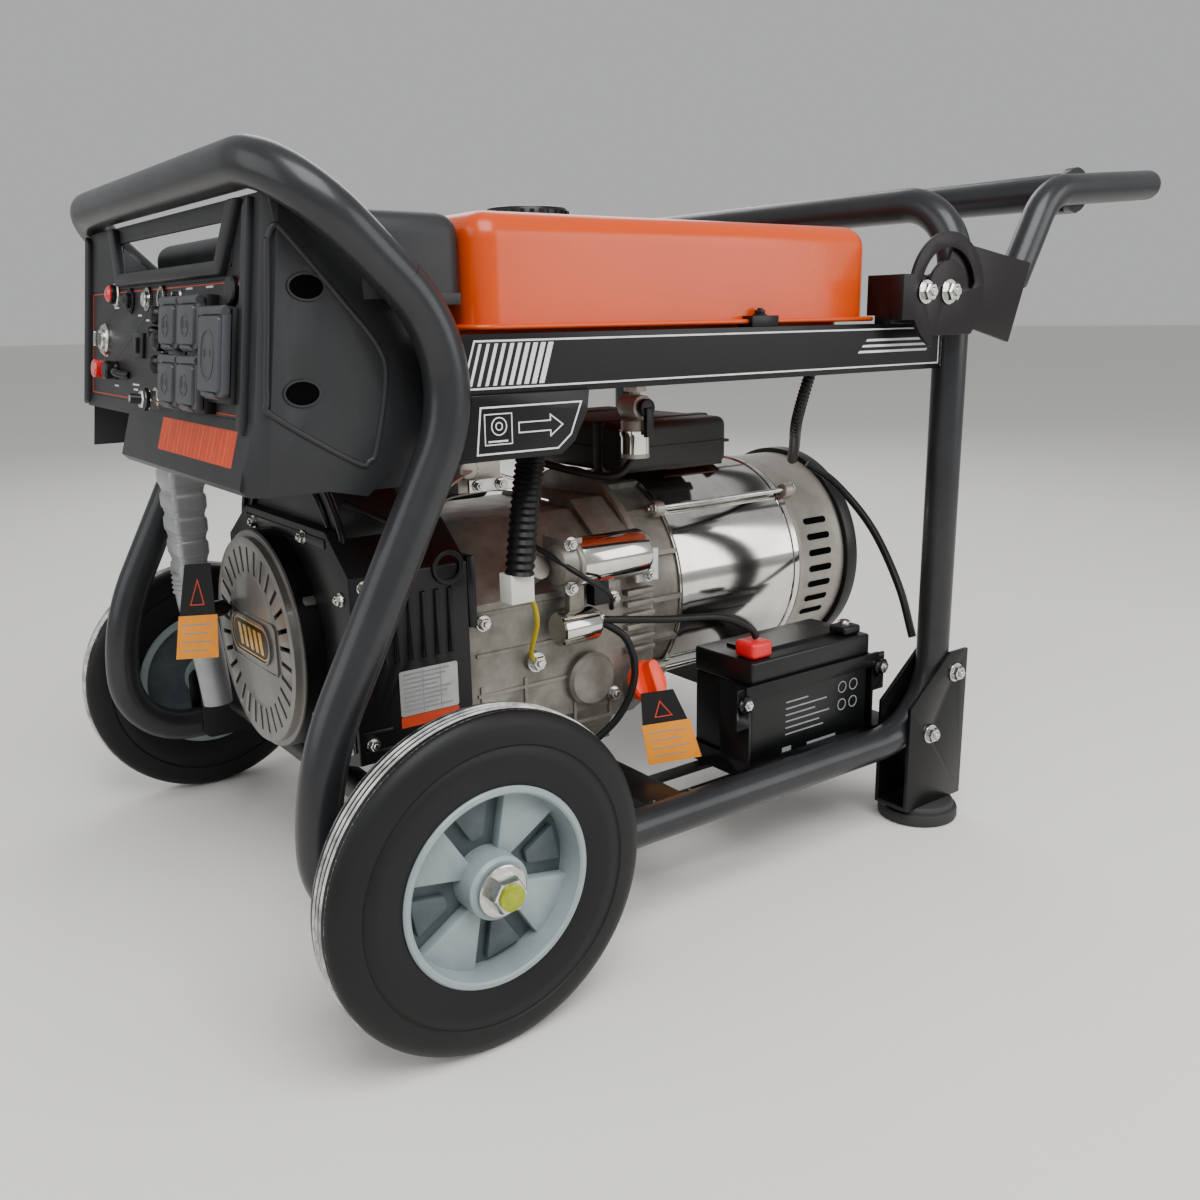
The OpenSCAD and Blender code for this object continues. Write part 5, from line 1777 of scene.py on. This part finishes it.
    def tag(self, name: str, corner: Triple, right: Triple, down: Triple, dark: float, body: str) -> None:
        """Hangs a card tag with a dark head and a plain picture.

        Args:
            name: The piece's name.
            corner: Its upper left corner.
            right: Its upper edge, as a step.
            down: Its long edge, as a step.
            dark: The share of its length that is dark.
            body: The body that it hangs on.
        """
        across, drop = Vector(right), Vector(down)
        normal = across.cross(drop).normalized()
        place = Matrix((
            (*[v[0] for v in (across.normalized(), drop.normalized(), normal)], corner[0]),
            (*[v[1] for v in (across.normalized(), drop.normalized(), normal)], corner[1]),
            (*[v[2] for v in (across.normalized(), drop.normalized(), normal)], corner[2]),
            (0, 0, 0, 1),
        ))
        wide, long = across.length, drop.length
        head = [(wide * 0.2, 0), (wide * 0.8, 0), (wide * 0.92, long * dark), (wide * 0.08, long * dark)]
        Shape().prism(head, 0.5, place).done(name + "_head", BLACK_VINYL, body)
        card = [(wide * 0.06, long * dark), (wide * 0.96, long * dark), (wide, long), (0, long)]
        Shape().prism(card, 0.5, place).done(name + "_card", YELLOW_CARD, body)
        marks = Shape()
        for k in range(4):
            v = long * (dark + (1 - dark) * (0.2 + 0.2 * k))
            for z in (-0.12, 0.5):
                marks.box((wide * 0.14, v, z), (wide * (0.84 - 0.1 * (k % 2)), v + 1.2, z + 0.12), place)
        marks.done(name + "_lines", GREY_INK, body)
        sign = Shape()
        for z in (-0.12, 0.5):
            sign.ribbon(
                [
                    (wide * 0.36, long * dark * 0.78), (wide * 0.64, long * dark * 0.78),
                    (wide * 0.5, long * dark * 0.35),
                ],
                1.0,
                0.12,
                place @ Matrix.Translation((0, 0, z)),
            )
        sign.done(name + "_sign", ORANGE_VINYL, body)

    def starter(self) -> None:
        """Builds the starter motor, its solenoid and their terminals."""
        shape = Shape().lathe(
            [(0, 0), (16, 0), (20, 2), (21, 4), (21, 76), (20, 79), (17, 80.6), (0, 81)],
            along((176, -160, 305), (1, 0, 0)),
            64,
        )
        shape.lathe(
            [(0, 0), (13.6, 0), (15, 1.4), (15, 37), (13.6, 39.6), (0, 40)],
            along((164, -160, 248), (1, 0, 0)),
            48,
        )
        shape.done("starter_cans", NICKEL, replaces=("starter_motor",))
        cast = Shape().lathe(
            [(0, 0), (12, 0), (17, 3), (19, 16), (21.4, 17), (21.4, 22), (0, 22)],
            along((160, -160, 305), (1, 0, 0)),
            48,
        )
        cast.box((178, -160, 262), (194, -152, 286)).box((176, -150, 236), (192, -138, 260))
        cast.box(
            (166, -170, 282), (186, -138, 328)
        ).box((250, -166, 296), (256, -138, 314)).soften(1.2, 2, 50)
        cast.done("starter_nose", CAST_ALLOY)
        small = Shape().bolt((204, -166, 252), (1, 0, 0), 9).bolt((204, -154, 244), (1, 0, 0), 7)
        small.bolt((257, -152, 318), (1, 0, 0), 6).bolt((257, -168, 292), (1, 0, 0), 6)
        for z in (286, 324):
            small.bolt((172, -170.5, z), (0, -1, 0), 10)
        small.done("starter_terminals", ZINC)

    def filler(self) -> None:
        """Moulds the orange oil filler cap."""
        away = Vector((0, -0.894, 0.447))
        base = Vector((268, -150, 176))
        cap = Shape().lathe(
            [(0, 0.4), (18, 0.4), (20, 1.6), (20, 7.4), (18, 9.6), (0, 10.4)], along(base, away), 40
        )
        for k in range(16):
            a = k * math.tau / 16
            rim = along((0, 0, 0), away) @ Vector((19.4 * math.cos(a), 19.4 * math.sin(a), 0))
            cap.rod(base + away * 1.6 + rim, base + away * 8 + rim, 0.6, 8)
        blade = Matrix.Translation(base + away * 9) @ Matrix.Rotation(math.radians(63.4), 4, "X")
        wing = Shape().prism(rounded(12, 36, 5.9, (0, 0), 6), 13.6, blade).soften(2.4, 4, 50)
        # The cap's finish carries a faint painted glow.
        cap.add(wing).done("oil_filler_cap", ORANGE_ABS, "oil_cap", replaces=("oil_cap",))
        self.tag("filler_tag", (228, -179, 180), (48, -18, 2), (15, -8, -68), 0.44, "frame")

    def build(self) -> None:
        """Builds the engine."""
        self.castings()
        self.cowl()
        self.cooling_shroud()
        self.recoil()
        self.starter()
        self.filler()


@dataclass
class Breathing:
    """The silencer, the air cleaner and the duct that blows on the engine."""

    muffler_x: Pair = (292.0, 428.0)
    muffler_y: Pair = (-88.0, 110.0)
    muffler_z: Pair = (362.0, 410.0)
    duct_middle: Pair = (-37.0, 189.0)

    def muffler(self) -> None:
        """Presses the silencer with its rolled seam, straps, pipe and outlet."""
        (x0, x1), (y0, y1), (z0, z1) = self.muffler_x, self.muffler_y, self.muffler_z
        shape = Shape().box((x0, y0, z0), (x1, y1, z1)).soften(9, 4)
        shape.rod((x1 - 2, 80, 386), (452, 80, 386), 13, 40, 1).add(
            Shape().box((x0 - 1, y0 - 1, 384), (x1 + 1, y1 + 1, 387)).soften(0.8)
        )
        for y in (-50, 60):
            shape.add(Shape().box((x0 - 1.2, y - 8, z0 - 1.2), (x1 + 1.2, y + 8, z1 + 1.2)).soften(3, 3))
        shape.sweep(flowing([(296, 90, 386), (262, 96, 386), (228, 99, 385), (196, 100, 384)]), 13, 24)
        shape.done("silencer", HEAT_BLACK, replaces=("muffler",))
        heads = Shape()
        for y in (-50, 60):
            heads.bolt((x1 + 1, y, 374), (1, 0, 0), 10)
        heads.done("silencer_bolts", ZINC)

    def cleaner(self) -> None:
        """Moulds the air cleaner with its cover line, clips and neck."""
        shape = Shape().box((34, 20, 392), (150, 172, 452)).soften(9, 4, 40)
        shape.add(Shape().box((33, 19, 420), (151, 173, 424)).soften(1.4)).box((56, 60, 362), (92, 140, 396))
        for k in range(6):
            shape.box((46 + k * 17, 30, 451.4), (49 + k * 17, 162, 452.6))
        shape.done("air_cleaner_case", BLACK_NYLON, replaces=("air_cleaner",))
        clips = Shape()
        for y in (54, 132):
            clips.box((149.6, y - 7, 410), (152.4, y + 7, 434)).box((31.6, y - 7, 410), (34.4, y + 7, 434))
        clips.soften(0.7).done("air_cleaner_clips", ZINC)

    def duct(self) -> None:
        """Moulds the silver duct with its ribs."""
        upper = Shape()
        cx, cy = self.duct_middle
        for k in range(5):
            low = 262 + k * 23
            grow = 1 + 0.05 * k
            rib = Shape().box(
                (cx - 15 * grow, cy - 20 * grow, low), (cx + 15 * grow, cy + 20 * grow, low + 20)
            )
            upper.add(rib.soften(6, 4))
            core = Shape().box(
                (cx - 13.6 * grow, cy - 18.4 * grow, low - 4), (cx + 13.6 * grow, cy + 18.4 * grow, low + 25)
            )
            upper.add(core.soften(5, 3))
        bellows = [(cx, cy, 250 + 2.5 * k) for k in range(9)]
        upper.sweep(bellows, [17 if k % 2 else 19 for k in range(9)], 32)
        elbow = flowing(
            [
                (-37, 189, 256), (-37, 184, 238), (-37, 170, 216), (-37, 158, 190), (-36, 152, 164),
                (-35, 150, 142),
            ],
            6,
        )
        upper.sweep(elbow, [17.5 - 0.12 * k for k in range(len(elbow))], 32)
        upper.done("air_duct_body", SILVER_DUCT, crease=40)

    def build(self) -> None:
        """Builds the group."""
        self.muffler()
        self.cleaner()
        self.duct()


@dataclass
class Alternator:
    """The alternator: bell, wrapped barrel, end bell and vented cover."""

    crank_z: float = 242.0
    barrel: Pair = (345.0, 512.0)
    barrel_r: float = 112.0
    end_x: float = 600.0

    def turned(self, x: float) -> Matrix:
        """A placing on the shaft line at x, with Z towards the rear."""
        return along((x, 0, self.crank_z), (1, 0, 0))

    def housing(self) -> None:
        """Builds the bell, the bright wrap and the end bell."""
        x0, x1 = self.barrel
        wrap = Shape().lathe(
            [(self.barrel_r, 0), (self.barrel_r, x1 - x0), (110, x1 - x0), (110, 0)],
            self.turned(x0),
            144,
            around=True,
        )
        wrap.box((x0 + 9, -2, self.crank_z - 113.2), (x1 - 9, 8, self.crank_z - 111.6))
        wrap.done("barrel_wrap", BRIGHT_SHEET, replaces=("alternator_barrel",))
        bell = Shape().lathe(
            [(84, 0), (118, 0), (120, 2), (120, 9), (118, 11), (113, 12), (109, 18), (109, 55), (84, 55)],
            self.turned(290),
            128,
            around=True,
        )
        for k in range(16):
            a = math.radians(22.5 * k)
            turned = Matrix.Translation((0, 0, self.crank_z)) @ Matrix.Rotation(a, 4, "X")
            bell.box((301, -2.4, 106), (344, 2.4, 115), turned)
        bell.done("front_bell", CAST_ALLOY)
        rear = Shape().lathe(
            [(103, 0), (110.4, 0), (112, 1.5), (112, 8), (110.8, 10), (110.8, 71), (103, 71)],
            self.turned(x1),
            128,
            around=True,
        )
        rear.lathe([(20, 62), (104, 62), (104, 66), (20, 66)], self.turned(x1), 64, around=True)
        rear.done("end_bell", DIE_CAST)
        # Black sheets on the end bell are painted shade for its slots.
        dark = Shape()
        for k in (64, 73, 82, 91, 100, 109, 118, 244, 253, 262, 271, 280, 289, 298):
            turned = Matrix.Translation((0, 0, self.crank_z)) @ Matrix.Rotation(math.radians(k), 4, "X")
            dark.prism(rounded(34, 7, 3.4, (546, 0), 6), 0.5, turned @ Matrix.Translation((0, 0, 110.6)))
        dark.done("end_bell_slots", HOLE_BLACK)
        skin("alternator_end_cover", BLACK_NYLON, edge=2.0, segments=3)
        skin("stator", COPPER)
        bands = Shape()
        for x in (x0 + 1, x1 - 9):
            bands.lathe(
                [
                    (self.barrel_r - 0.4, 0), (self.barrel_r + 1.4, 0.8), (self.barrel_r + 1.4, 7.2),
                    (self.barrel_r - 0.4, 8),
                ],
                self.turned(x),
                128,
                around=True,
            )
        bands.done("barrel_bands", BRIGHT_SHEET)
        through = Shape()
        for k in range(4):
            a = math.radians(45 + 90 * k)
            y, z = 118 * math.cos(a), self.crank_z + 118 * math.sin(a)
            through.rod((x0 - 12, y, z), (x1 + 12, y, z), 2.6, 16).bolt((x0 - 12, y, z), (-1, 0, 0), 10)
            through.bolt((x1 + 12, y, z), (1, 0, 0), 10)
        through.done("through_bolts", ZINC)
        cast = Shape()
        for k in range(4):
            a = math.radians(45 + 90 * k)
            y, z = 116 * math.cos(a), self.crank_z + 116 * math.sin(a)
            for x in (x0 - 12, x1):
                cast.rod((x, y, z), (x + 12, y, z), 8, 24, 1)
        cast.done("bolt_lugs", DIE_CAST)

    def end(self) -> None:
        """Adds the slats, the screws and the brown bracket of the rear end."""
        slats = Shape()
        for k in range(11):
            z = 176 + k * 13
            half = math.sqrt(max(0.0, 88**2 - (z - self.crank_z) ** 2))
            if half > 14:
                slats.box((self.end_x - 1, -half, z - 2.2), (self.end_x + 2.4, half, z + 2.2))
        slats.soften(0.9).done("end_cover_slats", BLACK_NYLON)
        # Black strips behind the slats are painted shade in the gaps.
        gaps = Shape()
        for k in range(10):
            z = 182.5 + k * 13
            half = math.sqrt(max(0.0, 84**2 - (z - self.crank_z) ** 2))
            if half > 14:
                gaps.box((self.end_x - 1, -half, z - 3), (self.end_x + 0.4, half, z + 3))
        gaps.done("end_cover_gaps", HOLE_BLACK)
        screws = Shape()
        for k in range(6):
            a = math.radians(30 + 60 * k)
            screws.bolt((self.end_x, 104 * math.cos(a), self.crank_z + 104 * math.sin(a)), (1, 0, 0), 8)
        screws.done("end_cover_screws", ZINC)
        bracket = Shape().box(
            (392, -34, 353), (470, 20, 357)
        ).box((464, -34, 353), (468, 20, 374)).soften(0.8)
        bracket.done("barrel_bracket", RUST_BROWN)

    def build(self) -> None:
        """Builds the alternator."""
        self.housing()
        self.end()


@dataclass
class Battery:
    """The starter battery on its tray with its clamp and terminals."""

    low: Triple = (333.0, -226.0, 88.0)
    high: Triple = (493.0, -148.0, 200.0)

    def case(self) -> None:
        """Moulds the case with its lid and raised top, and lays its label bars."""
        (x0, y0, _), (x1, y1, z1) = self.low, self.high
        case = Shape().box(self.low, (x1, y1, 176)).soften(3, 3)
        case.add(Shape().box((x0 - 0.6, y0 - 0.6, 176), (x1 + 0.6, y1 + 0.6, z1)).soften(2.6, 3))
        case.box((x0 + 22, y0 + 20, z1 - 1), (x1 - 22, y1 - 20, z1 + 3))
        case.done("battery_case", BATTERY_ABS, replaces=("battery",))
        face = facing_side(abs(y0) + 0.05)
        marks = Shape().box(
            (386, 170.5, 0), (424, 173.5, 0.3), face
        ).box((374, 102, 0), (386, 108, 0.3), face).box((408, 102, 0), (448, 106, 0.3), face)
        for k, wide in enumerate((52, 46, 60, 40, 56, 30)):
            marks.box((378, 120 + k * 6.4, 0), (378 + wide, 121.4 + k * 6.4, 0.3), face)
        for x, z in ((456, 152), (472, 152), (456, 134), (472, 134)):
            marks.ribbon(rounded(12, 12, 5.9, (x, z)), 1.0, 0.3, face)
        marks.done("battery_label_bars", GREY_INK)

    def clamp(self) -> None:
        """Bends the hold-down bar and fits its bolts, the tray and the terminals."""
        skin("battery_tray", BLACK_POWDER, edge=0.8)
        bar = Shape().box((322, -231, 166), (504, -227.6, 180)).soften(0.8)
        bar.done("battery_clamp_bar", BLACK_POWDER)
        bolts = Shape()
        for x in (320, 506):
            bolts.bolt((x, -231.4, 165), (0, -1, 0), 11)
        bolts.rod((350, -208, 200), (350, -208, 213), 6, 20, 1).rod(
            (476, -208, 200), (476, -208, 213), 6, 20, 1
        )
        bolts.done("battery_bolts", ZINC)
        red = Shape().box((338, -222, 200), (364, -196, 216)).soften(4, 3)
        red.done("battery_red_boot", RED_PVC)
        black = Shape().box((464, -220, 200), (488, -198, 209)).soften(3, 3)
        black.done("battery_black_boot", BLACK_PVC)

    def build(self) -> None:
        """Builds the battery group."""
        self.case()
        self.clamp()


@dataclass(frozen=True)
class Route:
    """One wire or sleeve: its name, its points, its radius and what covers it."""

    name: str
    points: tuple[Triple, ...]
    radius: float
    finish: Finish
    ribbed: bool = False


ROUTES = (
    Route(
        "panel_conduit",
        ((112, -225, 440), (110, -212, 410), (107, -205, 370), (104, -198, 314)),
        12.0,
        BLACK_PVC,
        True,
    ),
    Route(
        "alternator_sleeve",
        ((405, -225, 470), (403, -215, 440), (420, -190, 410), (470, -140, 380), (530, -80, 357)),
        5.6,
        BLACK_PVC,
        True,
    ),
    Route(
        "earth_wire",
        ((110, -190, 300), (125, -182, 286), (136, -172, 262), (140, -156, 234), (146, -148, 222)),
        2.2,
        YELLOW_PVC,
    ),
    Route(
        "battery_plus_cable",
        ((353, -210, 218), (346, -208, 228), (320, -196, 240), (262, -186, 246), (207, -170, 252)),
        3.5,
        BLACK_PVC,
    ),
    Route(
        "rear_loom",
        ((540, -92, 352), (566, -110, 330), (580, -150, 286), (572, -196, 232), (566, -222, 182)),
        4.2,
        BLACK_PVC,
    ),
    Route("spark_lead", ((150, 60, 372), (170, 20, 392), (190, -30, 396), (206, -70, 372)), 3.4, BLACK_PVC),
    Route(
        "fuel_hose",
        ((283, -120, 384), (262, -108, 366), (214, -60, 380), (170, 10, 404), (150, 60, 410)),
        3.6,
        BLACK_PVC,
    ),
)


class Wiring:
    """The loom: sleeves, wires and their connector."""

    def build(self) -> None:
        """Lays every route and the connector box."""
        for route in ROUTES:
            path = flowing(route.points, 18 if route.ribbed else 8)
            radii = [
                route.radius * (0.84 if i % 2 else 1.0) for i in range(len(path))
            ] if route.ribbed else route.radius
            hides = ("harness",) if route.name == "panel_conduit" else ()
            Shape().sweep(path, radii, 20 if route.radius > 5 else 12).done(
                route.name, route.finish, crease=24 if route.ribbed else 75, replaces=hides
            )
        Shape().box((92, -204, 290), (114, -186, 314)).soften(1.2).done("loom_connector", WHITE_NYLON)


@dataclass
class Studio:
    """The pale floor, the soft lights and the camera, in metres in the row frame."""

    eye: Triple = (-0.7475, -0.94095, 0.51065)
    yaw: float = 36.41
    pitch: float = 14.084
    roll: float = 0.9165
    lens: float = 34.10

    def floor(self) -> None:
        """Lays the plain floor."""
        bpy.ops.mesh.primitive_plane_add(size=60)
        floor = bpy.context.object
        floor.name = "studio_floor"
        floor.data.materials.append(
            Finish(
                "studio_paper", "#E6E4E0", "#E4E2DE", 0.8, depth_mm=0.001, mottle_mm=900, spread=0.01
            ).material()
        )

    def lights(self) -> None:
        """Hangs one big soft light overhead, a fill from each side and a pale world."""
        world = bpy.data.worlds.new("pale_room")
        bpy.context.scene.world = world
        world.use_nodes = True
        world.node_tree.nodes["Background"].inputs[0].default_value = linear("#F2F3F4")
        world.node_tree.nodes["Background"].inputs[1].default_value = 0.55
        for name, spot, aim, size, power in (
            ("key_light", (-0.6, -1.5, 2.4), (0, 0, 0.3), 1.8, 78),
            ("fill_light", (-2.4, 0.2, 1.3), (0, 0, 0.3), 1.8, 20),
            ("side_light", (1.4, -2.2, 1.2), (0, 0, 0.3), 1.6, 26),
            ("rim_light", (1.2, 2.2, 2.0), (0, 0, 0.3), 1.8, 26),
        ):
            lamp = bpy.data.lights.new(name, "AREA")
            lamp.size, lamp.energy = size, power
            holder = bpy.data.objects.new(name, lamp)
            holder.location = spot
            holder.rotation_euler = (Vector(aim) - Vector(spot)).to_track_quat("-Z", "Y").to_euler()
            bpy.context.scene.collection.objects.link(holder)

    def camera(self) -> None:
        """Sets the camera up."""
        yaw, pitch, roll = (math.radians(a) for a in (self.yaw, self.pitch, self.roll))
        ahead = Vector((math.sin(yaw) * math.cos(pitch), math.cos(yaw) * math.cos(pitch), -math.sin(pitch)))
        right = Vector((math.cos(yaw), -math.sin(yaw), 0))
        over = right.cross(ahead)
        x_axis = math.cos(roll) * right - math.sin(roll) * over
        y_axis = math.cos(roll) * over + math.sin(roll) * right
        lens = bpy.data.cameras.new("camera")
        lens.lens, lens.sensor_width = self.lens, 36
        holder = bpy.data.objects.new("camera", lens)
        rows = [(x_axis[i], y_axis[i], -ahead[i], self.eye[i]) for i in range(3)]
        holder.matrix_world = Matrix((*rows, (0, 0, 0, 1)))
        bpy.context.scene.collection.objects.link(holder)
        bpy.context.scene.camera = holder

    def build(self) -> None:
        """Builds the studio."""
        self.floor()
        self.lights()
        self.camera()


def main() -> None:
    """Builds every group."""
    logging.basicConfig(level=logging.INFO, format="%(name)s: %(message)s")
    groups = (
        TubeFrame(), Wheel(-1), Wheel(1), FoldingHandle(), FuelTank(), ControlPanel(), Engine(),
        Breathing(), Alternator(), Battery(), Wiring(), Studio(),
    )
    for group in groups:
        log.info("building %s", type(group).__name__)
        group.build()


if __name__ == "__main__":
    main()
